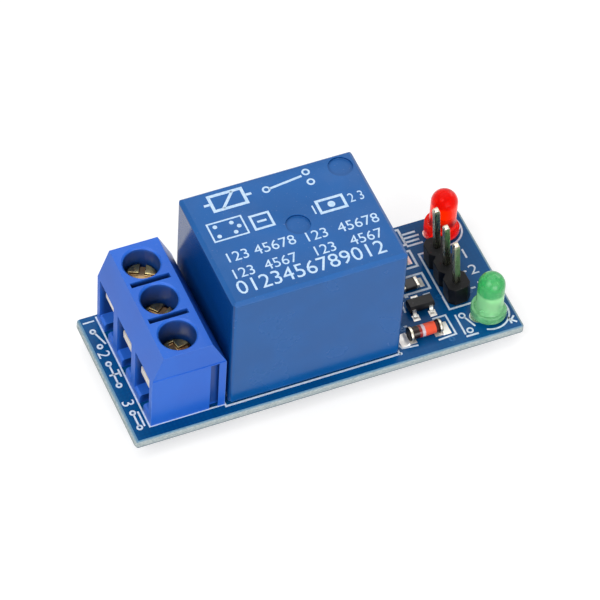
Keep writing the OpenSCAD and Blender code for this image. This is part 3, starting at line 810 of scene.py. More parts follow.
FINISHES: dict[Slot | Look, Finish] = {
    Slot.BOARD: Laminate("mask_on_laminate"),
    Slot.SOLDER: Metal(
        "bright_solder",
        paint(242, 238, 232),
        paint(214, 208, 200),
        roughness=0.38,
        metallic=0.5,
        stretch=(1, 1, 1),
        size=0.6 * MM,
    ),
    Slot.TERMINAL: Moulded(
        "terminal_plastic",
        paint(38, 104, 208),
        paint(34, 98, 202),
        roughness=0.42,
        upright_roughness=0.32,
        # lighter edges are a painted highlight, darker wells and bays painted shade
        edge=BoxEdge("terminal_housing", 0.1 * MM),
        edge_colour=paint(120, 164, 235),
        reach=0.5 * MM,
        recess_colour=paint(22, 66, 136),
        shine=0.36,
    ),
    Slot.BRASS: Metal("tinned_strip", paint(214, 205, 184), paint(150, 138, 116), roughness=0.35),
    Slot.CLAMP: Metal(
        "tinned_plate", paint(246, 238, 226), paint(224, 212, 194), roughness=0.5, metallic=0.3
    ),
    Slot.SCREW: Metal(
        "yellow_zinc",
        paint(176, 164, 116),
        paint(96, 34, 24),
        roughness=0.16,
        stretch=(1, 1, 1),
        size=1.2 * MM,
        depth=0.001 * MM,
        # red-brown on the slot floors, a painted reflection
        stain=paint(132, 44, 22),
    ),
    Slot.RELAY: Moulded(
        "relay_case_plastic",
        paint(10, 88, 158),
        paint(8, 84, 152),
        roughness=0.42,
        upright_roughness=0.22,
        # lighter edges are a painted highlight; darker dimple walls and faces along X, painted shade
        edge=BoxEdge("relay_cover", 0.1 * MM),
        edge_colour=paint(70, 134, 210),
        reach=0.12 * MM,
        recess_colour=paint(4, 44, 100),
        shine=0.34,
        polished=paint(6, 66, 130),
    ),
    Slot.BASE: Moulded("relay_base_plastic", paint(20, 80, 160), paint(14, 70, 148), roughness=0.5),
    Slot.BOBBIN: Moulded("natural_plastic", paint(228, 224, 206), paint(214, 208, 188), roughness=0.5),
    Slot.WINDING: Metal("enamelled_wire", paint(186, 96, 50), paint(140, 66, 34), metallic=0.9),
    Slot.IRON: Metal("plated_iron", paint(176, 176, 180), paint(128, 128, 132), roughness=0.36),
    Slot.SPRING: Metal(
        "contact_bronze", paint(208, 150, 92), paint(150, 100, 60), tinned_under="circuit_board"
    ),
    Slot.LEAD: Metal("tinned_lead", paint(224, 224, 220), paint(176, 174, 168), roughness=0.26, metallic=0.9),
    Slot.HEADER: Moulded(
        "header_plastic",
        paint(12, 12, 14),
        paint(8, 8, 10),
        roughness=0.5,
        upright_roughness=0.4,
        grain=0.1 * MM,
        dust=0.06,
        shine=0.18,
    ),
    Slot.PIN: Metal(
        "tinned_pin",
        paint(158, 160, 140),
        paint(112, 116, 98),
        roughness=0.26,
        stretch=(1, 1, 14),
        size=0.2 * MM,
        depth=0.001 * MM,
        tip_node="header_pins",
        tip_colour=paint(204, 194, 174),
    ),
    # the pale body is painted light, the emission a painted glow
    Slot.GREEN: Lens(
        "green_epoxy",
        "green_lamp_lens",
        foot=paint(104, 178, 124),
        pale=paint(158, 234, 164),
        deep=paint(60, 180, 102),
    ),
    # the pale body is painted light, the band painted shade, the emission a painted glow
    Slot.RED: Lens(
        "red_epoxy",
        "red_lamp_lens",
        foot=paint(206, 12, 2),
        pale=paint(255, 44, 0),
        deep=paint(206, 18, 10),
        band=paint(120, 8, 6),
        dome=(4.4 * MM, 4.8 * MM),
        clear=0.6,
        glow=0.32,
        shine=0.1,
        tint=paint(206, 12, 6),
        coat=0.08,
    ),
    Slot.PACKAGE: Moulded(
        "package_plastic",
        paint(24, 23, 24),
        paint(18, 17, 18),
        roughness=0.5,
        upright_roughness=0.45,
        dust=0.12,
        shine=0.35,
    ),
    Slot.GLASS: Banded(
        "banded_glass",
        (
            (0.0, paint(30, 5, 5)),
            (0.3, paint(150, 30, 22)),
            (0.38, paint(206, 190, 200)),
            (0.47, paint(240, 84, 50)),
            (0.8, paint(54, 12, 10)),
        ),
    ),
    Slot.CAP: Metal("plated_cap", paint(226, 220, 206), paint(160, 150, 130), roughness=0.25, metallic=0.9),
    Slot.CHIP: Moulded("glazed_chip", paint(34, 31, 30), paint(24, 22, 22), roughness=0.3, dust=0.12),
    # the dark plate is a painted reflection, and the bright rings at the rims are painted highlights
    Look.DIODE_CAP: Banded(
        "diode_cap_painted_reflection",
        (
            (0.0, paint(40, 38, 38)),
            (0.03, paint(216, 208, 192)),
            (0.1, paint(60, 56, 52)),
            (0.92, paint(206, 198, 182)),
            (0.98, paint(60, 56, 52)),
        ),
        metallic=1.0,
        roughness=0.26,
        coat=0.0,
        soft=0.02 * MM,
    ),
    Look.LEGEND: Ink("legend_ink", paint(222, 232, 242), paint(196, 212, 230)),
    Look.CASE_PRINT: Ink("case_ink", paint(204, 226, 246), paint(176, 208, 238)),
    Look.PAD: Metal(
        "pad_tin",
        paint(224, 224, 220),
        paint(190, 186, 176),
        roughness=0.28,
        metallic=0.85,
        stretch=(1, 1, 1),
    ),
    Look.TRACK: Moulded(
        "track_mask", paint(0, 96, 156), paint(0, 88, 148), roughness=0.26, dust=0.03, shine=0.3
    ),
}


class Palette:
    """Every finish of the module, built once and handed out by slot or by look."""

    def __init__(self) -> None:
        """Build the materials."""
        effects = Effects()
        self.materials = {key: finish.build(effects) for key, finish in FINISHES.items()}

    def __getitem__(self, key: Slot | Look) -> bpy.types.Material:
        """Give the material of a slot or a look."""
        return self.materials[key]


# ---------- meshes ----------


def put(name: str, data: bpy.types.ID) -> bpy.types.Object:
    """Put data on a new object in the scene.

    Args:
        name: Name of the object.
        data: Mesh, curve, lamp or camera data.

    Returns:
        The object.
    """
    made = bpy.data.objects.new(name, data)
    bpy.context.scene.collection.objects.link(made)
    return made


def meshed(work: bmesh.types.BMesh, name: str) -> bpy.types.Mesh:
    """Turn edited geometry into a mesh, and free it.

    Args:
        work: The edited geometry.
        name: Name of the mesh.

    Returns:
        The mesh.
    """
    mesh = bpy.data.meshes.new(name)
    work.to_mesh(mesh)
    work.free()
    return mesh


def plan(box: Box) -> tuple[float, float, float, float]:
    """Give a box's lowest and highest X, then its lowest and highest Y, in millimetres."""
    return (box[0].x / MM, box[1].x / MM, box[0].y / MM, box[1].y / MM)


class Kit:
    """What the sub-assemblies share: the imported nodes, the finishes, and ways to make a piece."""

    def __init__(self, nodes: dict[str, bpy.types.Object]) -> None:
        """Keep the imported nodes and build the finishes.

        Args:
            nodes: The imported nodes, by name.
        """
        self.nodes = nodes
        self.palette = Palette()
        self.count = 0

    def dress(self, node: str, slot: Slot) -> None:
        """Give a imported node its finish.

        Args:
            node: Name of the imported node.
            slot: Its material slot.
        """
        target = self.nodes[node]
        target.data.materials.clear()
        target.data.materials.append(self.palette[slot])

    def place(
        self,
        mesh: bpy.types.Mesh,
        name: str,
        slot: Slot,
        body: str = BOARD,
        replaces: str = "",
        look: Look | None = None,
    ) -> None:
        """Make a finished mesh a piece of the module.

        Args:
            mesh: The mesh, already in its place.
            name: Name of the piece.
            slot: Material slot of the record that it goes with.
            body: Body that it rides on.
            replaces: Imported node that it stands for.
            look: Finish in place of the slot's own.
        """
        mesh.name = name
        mesh.materials.clear()
        mesh.materials.append(self.palette[look or slot])
        piece = put(name, mesh)
        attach(piece, body)
        if replaces:
            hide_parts(replaces)
        self.count += 1
        LOG.info("%s: %d faces on %s", name, len(mesh.polygons), body)

    def soften(
        self,
        node: str,
        name: str,
        slot: Slot,
        width: float,
        segments: int = 2,
        angle: float = 33.0,
        body: str = BOARD,
        look: Look | None = None,
        change: Callable[[bpy.types.Mesh], None] | None = None,
    ) -> None:
        """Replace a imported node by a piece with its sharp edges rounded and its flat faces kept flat.

        Args:
            node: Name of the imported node.
            name: Name of the piece.
            slot: Material slot of the record that it goes with.
            width: Width of the rounding in metres.
            segments: Faces across the rounding.
            angle: Least angle in degrees of an edge that is rounded.
            body: Body that it rides on.
            look: Finish in place of the slot's own.
            change: What is done to the rounded mesh before it becomes a piece.
        """
        holder = self._holder(node)
        bevel = holder.modifiers.new("rounding", "BEVEL")
        bevel.width, bevel.segments = width, segments
        bevel.limit_method, bevel.angle_limit = "ANGLE", math.radians(angle)
        bevel.use_clamp_overlap = True
        crisp = holder.modifiers.new("flat_faces", "WEIGHTED_NORMAL")
        crisp.weight, crisp.keep_sharp = 80, False
        mesh = bake(holder)
        if change:
            change(mesh)
        self.place(mesh, name, slot, body, node, look)

    def merged(self, node: str) -> bmesh.types.BMesh:
        """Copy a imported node's mesh with its loose corners joined.

        Args:
            node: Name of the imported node.

        Returns:
            The copy, which the caller frees.
        """
        copy = bmesh.new()
        copy.from_mesh(self.nodes[node].data)
        bmesh.ops.remove_doubles(copy, verts=copy.verts, dist=JOIN_DISTANCE)
        return copy

    def islands(self, node: str) -> list[Box]:
        """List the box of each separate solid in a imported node.

        Args:
            node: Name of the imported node.

        Returns:
            Lowest and highest corner of each solid, sorted by X and then Y.
        """
        copy, seen, boxes = self.merged(node), set(), []
        for start in copy.verts:
            if start in seen:
                continue
            stack, part = [start], []
            seen.add(start)
            while stack:
                vert = stack.pop()
                part.append(vert.co)
                for edge in vert.link_edges:
                    other = edge.other_vert(vert)
                    if other not in seen:
                        seen.add(other)
                        stack.append(other)
            boxes.append((Vector(map(min, *part)), Vector(map(max, *part))))
        copy.free()
        return sorted(boxes, key=lambda box: (round(box[0].x, 5), box[0].y))

    def melted(
        self,
        node: str,
        voxel: float,
        passes: int,
        free: Callable[[float], float],
        sink: Callable[[Vector], Vector] = lambda place: place,
    ) -> bpy.types.Mesh:
        """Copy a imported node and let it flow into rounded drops.

        Args:
            node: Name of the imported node.
            voxel: Size of the remeshed faces in metres.
            passes: Rounds of smoothing.
            free: How freely a point flows, from 0 to 1, by its height.
            sink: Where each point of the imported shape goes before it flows.

        Returns:
            The flowing mesh.
        """
        holder = self._holder(node)
        for vert in holder.data.vertices:
            vert.co = sink(vert.co.copy())
        mesher = holder.modifiers.new("skin", "REMESH")
        mesher.mode, mesher.voxel_size = "VOXEL", voxel
        mesh = bake(holder)
        flow(mesh, passes, free)
        smooth(mesh, 180.0)
        return mesh

    def _holder(self, node: str) -> bpy.types.Object:
        """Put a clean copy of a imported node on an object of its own.

        Args:
            node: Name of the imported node.

        Returns:
            The object.
        """
        copy = self.merged(node)
        bmesh.ops.dissolve_limit(copy, angle_limit=FLAT_ANGLE, verts=copy.verts, edges=copy.edges)
        for face in copy.faces:
            face.smooth = True
        return put(node + "_copy", meshed(copy, node + "_copy"))


def flow(mesh: bpy.types.Mesh, passes: int, free: Callable[[float], float]) -> None:
    """Smooth a mesh where it is free to flow.

    Args:
        mesh: The mesh.
        passes: Rounds of smoothing.
        free: How freely a point flows, from 0 to 1, by its height.
    """
    places = np.empty(len(mesh.vertices) * 3, dtype=np.float32)
    mesh.vertices.foreach_get("co", places)
    places = places.reshape(-1, 3).astype(float)
    ends = np.empty(len(mesh.edges) * 2, dtype=np.int32)
    mesh.edges.foreach_get("vertices", ends)
    first, second = ends.reshape(-1, 2).T
    near = np.bincount(ends, minlength=len(places))[:, None]
    share = FLOW_STEP * np.array([[free(height)] for height in places[:, 2]])
    for _ in range(passes):
        total = np.zeros_like(places)
        np.add.at(total, first, places[second])
        np.add.at(total, second, places[first])
        places += share * (total / near - places)
    mesh.vertices.foreach_set("co", places.astype(np.float32).ravel())
    mesh.update()


def bake(holder: bpy.types.Object) -> bpy.types.Mesh:
    """Turn an object with modifiers into a plain mesh, and remove the object.

    Args:
        holder: The object.

    Returns:
        The plain mesh.
    """
    bpy.context.view_layer.update()
    graph = bpy.context.evaluated_depsgraph_get()
    mesh = bpy.data.meshes.new_from_object(holder.evaluated_get(graph))
    for modifier in list(holder.modifiers):
        holder.modifiers.remove(modifier)
    bpy.data.objects.remove(holder)
    return mesh


def smooth(mesh: bpy.types.Mesh, angle: float) -> None:
    """Shade a mesh smooth, with its sharper edges kept.

    Args:
        mesh: The mesh.
        angle: Least angle in degrees of an edge that stays sharp.
    """
    work = bmesh.new()
    work.from_mesh(mesh)
    limit = math.radians(angle)
    for edge in work.edges:
        edge.smooth = len(edge.link_faces) == 2 and edge.calc_face_angle(0.0) < limit
    for face in work.faces:
        face.smooth = True
    work.to_mesh(mesh)
    work.free()


def lathe(profile: Sequence[Point], centre: Vector, steps: int) -> bpy.types.Mesh:
    """Turn a profile round an upright axis.

    Args:
        profile: Radius and height of each point in metres, from the foot to the top, both on the axis.
        centre: Point on the axis that the heights count from.
        steps: Faces round the axis.

    Returns:
        The closed mesh.
    """
    work = bmesh.new()
    rings: list[list[bmesh.types.BMVert]] = []
    for radius, height in profile:
        turn = [math.tau * step / steps for step in range(steps)] if radius else [0.0]
        spots = [Vector((radius * math.cos(a), radius * math.sin(a), height)) for a in turn]
        rings.append([work.verts.new(centre + spot) for spot in spots])
    for low, high in zip(rings, rings[1:]):
        for step in range(steps):
            after = (step + 1) % steps
            around = ((low, step), (low, after), (high, after), (high, step))
            # a ring of one point closes its faces to triangles
            work.faces.new(list(dict.fromkeys(ring[index % len(ring)] for ring, index in around)))
    bmesh.ops.recalc_face_normals(work, faces=work.faces)
    return meshed(work, "turned")


def round_points(centre: Point, radius: float, turn: Iterable[float]) -> list[Point]:
    """Give the point of a circle at each of some angles."""
    return [(centre[0] + radius * math.cos(a), centre[1] + radius * math.sin(a)) for a in turn]


class Print:
    """A flat print of strokes, fills and plain numerals, drawn in millimetres, with a little thickness."""

    def __init__(self, height: float, thickness: float = 0.018 * MM) -> None:
        """Start an empty print.

        Args:
            height: Height of the ground that it lies on.
            thickness: Thickness of the ink.
        """
        self.work = bmesh.new()
        self.low = height - INK_FOOT
        self.high = height + thickness
        self.pin()

    def pin(self, origin: Point = (0.0, 0.0), down: bool = False) -> None:
        """Say how the drawing that follows lies on the ground.

        Args:
            origin: Where the drawing's zero lies.
            down: Whether it reads along -Y in place of +X.
        """
        self.origin, self.down = origin, down

    def ground(self, point: Point) -> Point:
        """Give where a point of the drawing lies."""
        x, y = (point[1], -point[0]) if self.down else point
        return (self.origin[0] + x, self.origin[1] + y)

    def corners(self, points: Iterable[Point], height: float) -> list[bmesh.types.BMVert]:
        """Add a vertex in metres for each point that lies on the ground in millimetres."""
        return [self.work.verts.new((x * MM, y * MM, height)) for x, y in points]

    def disc(self, centre: Point, radius: float) -> None:
        """Fill a circle.

        Args:
            centre: Its middle.
            radius: Its radius.
        """
        turn = [math.tau * step / DISC_STEPS for step in range(DISC_STEPS)]
        outline = [self.ground(point) for point in round_points(centre, radius, turn)]
        low, high = self.corners(outline, self.low), self.corners(outline, self.high)
        self.work.faces.new(high)
        self.work.faces.new(list(reversed(low)))
        for i in range(DISC_STEPS):
            j = (i + 1) % DISC_STEPS
            self.work.faces.new((low[i], low[j], high[j], high[i]))

    def stroke(self, points: Sequence[Point], width: float = 0.22, closed: bool = False) -> None:
        """Draw a line with mitred corners.

        Args:
            points: Points of the line.
            width: Width of the line.
            closed: Whether it runs back to its start.
        """
        path = [Vector(self.ground(point)) for point in points]
        count = len(path)
        left, right = [], []
        for i, here in enumerate(path):
            before = path[i - 1] if i or closed else None
            after = path[(i + 1) % count] if i + 1 < count or closed else None
            come = (here - before).normalized() if before is not None else (after - here).normalized()
            go = (after - here).normalized() if after is not None else come
            side = Vector((-(come.y + go.y), come.x + go.x)).normalized()
            # a sharp corner is kept from running out into a spike
            reach = width / 2 / max(0.35, side.dot(Vector((-come.y, come.x))))
            left.append(here + side * reach)
            right.append(here - side * reach)
        low_left, low_right = self.corners(left, self.low), self.corners(right, self.low)
        high_left, high_right = self.corners(left, self.high), self.corners(right, self.high)
        for i in range(count if closed else count - 1):
            j = (i + 1) % count
            for face in (
                (high_left[i], high_right[i], high_right[j], high_left[j]),
                (low_left[i], low_left[j], low_right[j], low_right[i]),
                (high_left[i], high_left[j], low_left[j], low_left[i]),
                (high_right[i], low_right[i], low_right[j], high_right[j]),
            ):
                self.work.faces.new(face)
        if not closed:
            self.work.faces.new((high_left[0], low_left[0], low_right[0], high_right[0]))
            self.work.faces.new((high_left[-1], high_right[-1], low_right[-1], low_left[-1]))

    def bar(self, start: float, end: float, level: float, width: float = 0.2) -> None:
        """Draw a straight line along the drawing's X.

        Args:
            start: X of its start.
            end: X of its end.
            level: Y of the line.
            width: Width of the line.
        """
        self.stroke([(start, level), (end, level)], width)

    def frame(self, x0: float, x1: float, y0: float, y1: float, width: float) -> None:
        """Draw a rectangle.

        Args:
            x0: Lowest X.
            x1: Highest X.
            y0: Lowest Y.
            y1: Highest Y.
            width: Width of the line.
        """
        self.stroke([(x0, y0), (x1, y0), (x1, y1), (x0, y1)], width, True)

    def arc(self, centre: Point, radius: float, width: float, start: float = 0.0, end: float = 360.0) -> None:
        """Draw an arc or a ring.

        Args:
            centre: Its middle.
            radius: Its radius.
            width: Width of the line.
            start: Angle of its start in degrees.
            end: Angle of its end in degrees.
        """
        whole = end - start >= 360
        steps = max(6, int((end - start) / ARC_STEP))
        count = steps if whole else steps + 1
        turn = [math.radians(start + (end - start) * step / steps) for step in range(count)]
        self.stroke(round_points(centre, radius, turn), width, whole)

    def numerals(self, text: str, start: Point, size: float, turn: float = 0.0, spread: float = 1.0) -> None:
        """Set plain numerals.

        Args:
            text: Digits and spaces.
            start: Foot of the first digit.
            size: Height of a digit.
            turn: Reading direction in degrees from +X.
            spread: Width of the digits against their usual width.
        """
        curve = bpy.data.curves.new("numerals", "FONT")
        curve.body = text
        # a digit stands 0.7 of the type size high
        curve.size = size * MM / 0.7
        curve.extrude = (self.high - self.low) / 2
        curve.resolution_u = 3
        mesh = bake(put("numerals", curve))
        x, y = self.ground(start)
        mesh.transform(
            Matrix.Translation((x * MM, y * MM, (self.high + self.low) / 2))
            @ Matrix.Rotation(math.radians(turn), 4, "Z")
            @ Matrix.Diagonal((spread, 1, 1, 1))
        )
        self.work.from_mesh(mesh)
        bpy.data.meshes.remove(mesh)

    def finish(self) -> bpy.types.Mesh:
        """Give the whole print as one mesh."""
        return meshed(self.work, "print")


# ---------- geometry recipes ----------


class Recipe:
    """A Geometry Nodes tree with named inputs, baked into a plain mesh each time that it is used."""

    def __init__(self, name: str, inputs: dict[str, float], angle: float = 30.0) -> None:
        """Make the tree with its named inputs.

        Args:
            name: Name of the tree.
            inputs: First value of each input, by name.
            angle: Least angle in degrees of an edge that stays sharp.
        """
        self.tree = bpy.data.node_groups.new(name, "GeometryNodeTree")
        self.angle = angle
        face = self.tree.interface
        face.new_socket("Geometry", in_out="INPUT", socket_type="NodeSocketGeometry")
        for label, value in inputs.items():
            face.new_socket(label, in_out="INPUT", socket_type="NodeSocketFloat").default_value = value
        face.new_socket("Material", in_out="INPUT", socket_type="NodeSocketMaterial")
        face.new_socket("Geometry", in_out="OUTPUT", socket_type="NodeSocketGeometry")
        self.kit = Tree(self.tree)
        self.entry = self.kit.node("NodeGroupInput").outputs
        self.exit = self.kit.node("NodeGroupOutput").inputs

    def circle(self, radius: Socket, steps: int) -> Socket:
        """Add a circle of a radius with so many steps."""
        made = self.kit.node("GeometryNodeCurvePrimitiveCircle", mode="RADIUS")
        return self.kit.wire(made, {"Resolution": steps, "Radius": radius})["Curve"]

    def strip(self) -> Socket:
        """Add the section of flat copper, as wide and thick as the inputs say."""
        made = self.kit.node("GeometryNodeCurvePrimitiveQuadrilateral", mode="RECTANGLE")
        return self.kit.wire(made, {"Width": self.entry["Width"], "Height": self.entry["Thickness"]})["Curve"]

    def sweep(self, path: Socket, section: Socket, caps: bool) -> Socket:
        """Sweep a section along a path.

        Args:
            path: The path.
            section: The section.
            caps: Whether the ends are closed.

        Returns:
            The swept mesh.
        """
        made = self.kit.node("GeometryNodeCurveToMesh")
        return self.kit.wire(made, {"Curve": path, "Profile Curve": section, "Fill Caps": caps})["Mesh"]

    def repeat(self, shape: Socket) -> Socket:
        """Set a shape on each point that the tree starts from."""
        made = self.kit.node("GeometryNodeInstanceOnPoints")
        return self.kit.wire(made, {"Points": self.entry["Geometry"], "Instance": shape})["Instances"]

    def close(self, geometry: Socket) -> Recipe:
        """End the tree: real geometry, joined corners and material.

        Args:
            geometry: What the tree has made.

        Returns:
            The recipe itself.
        """
        real = self.kit.line_up(self.kit.node("GeometryNodeRealizeInstances"), geometry)[0]
        merge = self.kit.node("GeometryNodeMergeByDistance")
        joined = self.kit.wire(merge, {"Geometry": real, "Distance": JOIN_DISTANCE / 10})["Geometry"]
        dress = self.kit.node("GeometryNodeSetMaterial")
        dressed = self.kit.wire(dress, {"Geometry": joined, "Material": self.entry["Material"]})["Geometry"]
        self.kit.feed(self.exit[0], dressed)
        return self

    def make(self, source: bpy.types.ID, material: bpy.types.Material, **values: float) -> bpy.types.Mesh:
        """Bake the tree on a mesh or curve.

        Args:
            source: Mesh or curve data that the tree starts from.
            material: Material of the result.
            **values: Value of each input, by name.

        Returns:
            The baked mesh.
        """
        holder = put("recipe", source)
        modifier = holder.modifiers.new("recipe", "NODES")
        modifier.node_group = self.tree
        wanted: dict[str, object] = {**values, "Material": material}
        for item in self.tree.interface.items_tree:
            if item.in_out == "INPUT" and item.name in wanted:
                modifier[item.identifier] = wanted[item.name]
        mesh = bake(holder)
        smooth(mesh, self.angle)
        return mesh


class Recipes:
    """The module's repeated and path-following shapes."""

    def __init__(self) -> None:
        """Build each tree."""
        self.rings = self._rings()
        self.tracks = self._tracks()
        self.coil = self._coil()

    @staticmethod
    def _rings() -> Recipe:
        """Build flat rings, one on each point.

        Returns:
            The recipe.
        """
        made = Recipe("pad_rings", {"Inner": 0.5 * MM, "Width": 0.3 * MM, "Thickness": 0.03 * MM})
        middle = made.kit.math("MULTIPLY_ADD", made.entry["Width"], 0.5, made.entry["Inner"])
        ring = made.sweep(made.circle(middle, 28), made.strip(), False)
        return made.close(made.repeat(ring))

    @staticmethod
    def _tracks() -> Recipe:
        """Build flat tracks with rounded corners along curves.

        Returns:
            The recipe.
        """
        made = Recipe("copper_tracks", {"Width": 0.4 * MM, "Thickness": 0.03 * MM, "Corner": 0.4 * MM})
        rounded = made.kit.wire(
            made.kit.node("GeometryNodeFilletCurve", mode="POLY"),
            {"Curve": made.entry["Geometry"], "Radius": made.entry["Corner"], "Count": 4},
        )
        return made.close(made.sweep(rounded["Curve"], made.strip(), True))

    @staticmethod
    def _coil() -> Recipe:
        """Build a helix of round wire or of thread crests, on each point.

        Returns:
            The recipe.
        """
        sizes = {"Radius": 1 * MM, "Wire": 0.1 * MM, "Pitch": 0.5 * MM, "Length": 3 * MM}
        made = Recipe("helix", sizes, 80.0)
        kit, entry = made.kit, made.entry
        spiral = kit.wire(
            kit.node("GeometryNodeCurveSpiral"),
            {
                "Resolution": 36,
                "Rotations": kit.math("DIVIDE", entry["Length"], entry["Pitch"]),
                "Start Radius": entry["Radius"],
                "End Radius": entry["Radius"],
                "Height": entry["Length"],
            },
        )
        wire = made.sweep(spiral["Curve"], made.circle(entry["Wire"], 6), True)
        return made.close(made.repeat(wire))


def point_mesh(points: Iterable[Sequence[float]]) -> bpy.types.Mesh:
    """Make a mesh of loose points.

    Args:
        points: The points in metres.

    Returns:
        The mesh.
    """
    mesh = bpy.data.meshes.new("points")
    mesh.from_pydata([tuple(p) for p in points], [], [])
    return mesh


def path_curves(paths: Iterable[Sequence[Sequence[float]]]) -> bpy.types.Curve:
    """Make straight-sided curves through lists of points.

    Args:
        paths: Points of each curve in metres.

    Returns:
        The curves.
    """
    curve = bpy.data.curves.new("paths", "CURVE")
    curve.dimensions = "3D"
    for path in paths:
        spline = curve.splines.new("POLY")
        spline.points.add(len(path) - 1)
        for target, point in zip(spline.points, path):
            target.co = (*point, 1.0)
    return curve


# ---------- sub-assemblies ----------


@dataclass
class CircuitBoard:
    """The laminate with its legend, pads and tracks."""

    low: Vector = field(init=False)
    high: Vector = field(init=False)
    rounding: float = 0.03 * MM
    score: tuple[float, float] = (0.36 * MM, 0.12 * MM)
    line: float = 0.22
    mark: float = 1.3
    copper: float = 0.05 * MM
    power_solder: float = 1.0 * MM
    rings: tuple[tuple[str, float, float, Slot, Look], ...] = (
        ("power_pads", 0.75 * MM, 0.6 * MM, Slot.SOLDER, Look.PAD),
        ("signal_pads", 0.5 * MM, 0.4 * MM, Slot.SOLDER, Look.PAD),
        ("lamp_pads", 0.45 * MM, 0.4 * MM, Slot.SOLDER, Look.PAD),
        ("vias", 0.14 * MM, 0.2 * MM, Slot.BOARD, Look.TRACK),
    )
    via_places: tuple[Point, ...] = (
        (9.6, -4.6),
        (10.4, 2.3),
        (14.9, -1.9),
        (9.3, 5.9),
        (13.9, -7.6),
        (18.3, -2.3),
    )
    track: tuple[float, float, float] = (0.5 * MM, 0.034 * MM, 0.6 * MM)
    least_run: float = 1.0 * MM
    poles: tuple[tuple[float, float], ...] = ((8.25, 2.7), (3.7, 3.6), (-3.15, 2.6))

    def build(self, kit: Kit, recipes: Recipes) -> None:
        """Dress the board and add its print and copper.

        Args:
            kit: What the sub-assemblies share.
            recipes: The geometry recipes.
        """
        low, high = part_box("circuit_board")
        inset = Vector((*self.score, 0))
        self.low, self.high = low + inset, high - inset
        kit.soften("circuit_board", "laminate", Slot.BOARD, self.rounding, 1)
        self._copper(kit, recipes)
        self._legend(kit)

    def _copper(self, kit: Kit, recipes: Recipes) -> None:
        """Add pad rings and vias on both faces, and tracks under the board.

        Args:
            kit: What the sub-assemblies share.
            recipes: The geometry recipes.
        """
        leads = [((low + high) / 2, (high.x - low.x) / 2) for low, high in kit.islands("pin_solder")]
        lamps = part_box("green_lamp_leads")[0].x - 0.1 * MM
        spots: dict[str, list[Point]] = {name: [] for name, *_ in self.rings}
        for place, radius in leads:
            if radius > self.power_solder:
                kind = "power"
            else:
                kind = "signal" if place.x < lamps else "lamp"
            spots[f"{kind}_pads"].append((place.x, place.y))
        spots["vias"] = [(x * MM, y * MM) for x, y in self.via_places]
        for name, inner, width, slot, look in self.rings:
            mesh = recipes.rings.make(
                point_mesh((x, y, z) for x, y in spots[name] for z in (self.high.z, self.low.z)),
                kit.palette[look],
                Inner=inner,
                Width=width,
                Thickness=self.copper,
            )
            kit.place(mesh, name, slot, look=look)
        paths = []
        ordered = sorted((place for place, _ in leads), key=lambda place: place.x)
        for first, second in zip(ordered, ordered[1:]):
            if abs(first.x - second.x) < self.least_run:
                continue
            bend = first.x + 0.5 * (second.x - first.x)
            turns = ((first.x, first.y), (bend, first.y), (bend, second.y), (second.x, second.y))
            paths.append([(x, y, self.low.z) for x, y in turns])
        width, thickness, corner = self.track
        mesh = recipes.tracks.make(
            path_curves(paths), kit.palette[Look.TRACK], Width=width, Thickness=thickness, Corner=corner
        )
        kit.place(mesh, "under_tracks", Slot.BOARD, look=Look.TRACK)

    def _legend(self, kit: Kit) -> None:
        """Print the outlines, plain numerals and simple contact symbols.

        Args:
            kit: What the sub-assemblies share.
        """
        art = Print(self.high.z)
        x0, x1, y0, y1 = plan(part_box("relay_cover"))
        art.disc((x1 + 0.06, y0 - 0.12), 0.17)
        art.frame(x0 - 0.33, x1 - 0.06, y0 - 0.12, y1 + 0.12, self.line)
        self._terminal_marks(art)
        self._part_marks(art, kit)
        self._header_marks(art)
        self._lamp_marks(art)
        kit.place(art.finish(), "board_legend", Slot.BOARD, look=Look.LEGEND)

    def _terminal_marks(self, art: Print) -> None:
        """Print the terminal's outline, and a numeral and contact symbol for each pole.

        Args:
            art: The print.
        """
        x0, x1, y0, _ = plan(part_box("terminal_housing"))
        y1 = self.high.y / MM - 0.25
        art.stroke([(x1 - 0.1, y0 - 0.02), (x0 - 0.1, y0 - 0.02), (x0 - 0.1, y1)], 0.18)
        foot = self.low.x / MM + 0.14
        for number, (start, along) in zip(POLES, self.poles):
            art.pin()
            art.numerals(str(number), (foot, start), self.mark, -90.0)
            art.pin((foot, start - 1.5), down=True)
            art.arc((0.3, 0.6), 0.25, 0.2)
            art.arc((along - 0.3, 0.6), 0.25, 0.2)
            if number == 1:
                art.stroke([(0.52, 0.72), (along - 0.45, 1.3)], 0.2)
                continue
            art.bar(0.55, along - 0.55, 0.6)
            if number == 2:
                art.stroke([(along / 2, 0.12), (along / 2, 1.2)], 0.2)
                art.bar(along / 2 - 0.5, along / 2 + 0.5, 1.25)
            else:
                art.bar(0.3, along - 0.3, 1.15)
        art.pin()

    def _part_marks(self, art: Print, kit: Kit) -> None:
        """Print the outlines of the small parts.

        Args:
            art: The print.
            kit: What the sub-assemblies share.
        """
        for box in self._resistor_boxes(kit):
            x0, x1, y0, y1 = plan(box)
            art.frame(x0 - 0.45, x1 + 0.95, y0 - 0.4, y1 + 0.55, 0.25)
        x0, x1, y0, y1 = plan(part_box("diode_caps"))
        side = [(x1 - 0.2, y1 + 0.85), (x1 + 1.3, y1 + 0.85), (x1 + 1.35, y0 - 0.3), (x1 - 0.7, y0 - 0.42)]
        art.stroke(side, 0.2)
        art.stroke([(x0 - 1.2, y0 + 0.4), (x0 - 1.0, y0 - 0.12), (x0 + 0.75, y0 - 0.3)], 0.2)
        art.bar(x0 - 0.35, x0 + 0.65, y1 + 0.9)
        x0, x1, y0, y1 = plan(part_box("transistor_body"))
        art.bar(x1 - 0.45, x1 + 0.35, y1 + 0.75, 0.22)
        art.stroke([(x0 + 0.1, y1 + 0.6), (x0 - 0.15, y1 + 0.2), (x0 - 0.25, y0 + 0.5)], 0.2)
        art.bar(x0 + 0.5, x0 + 0.9, y1 + 1.15, 0.3)

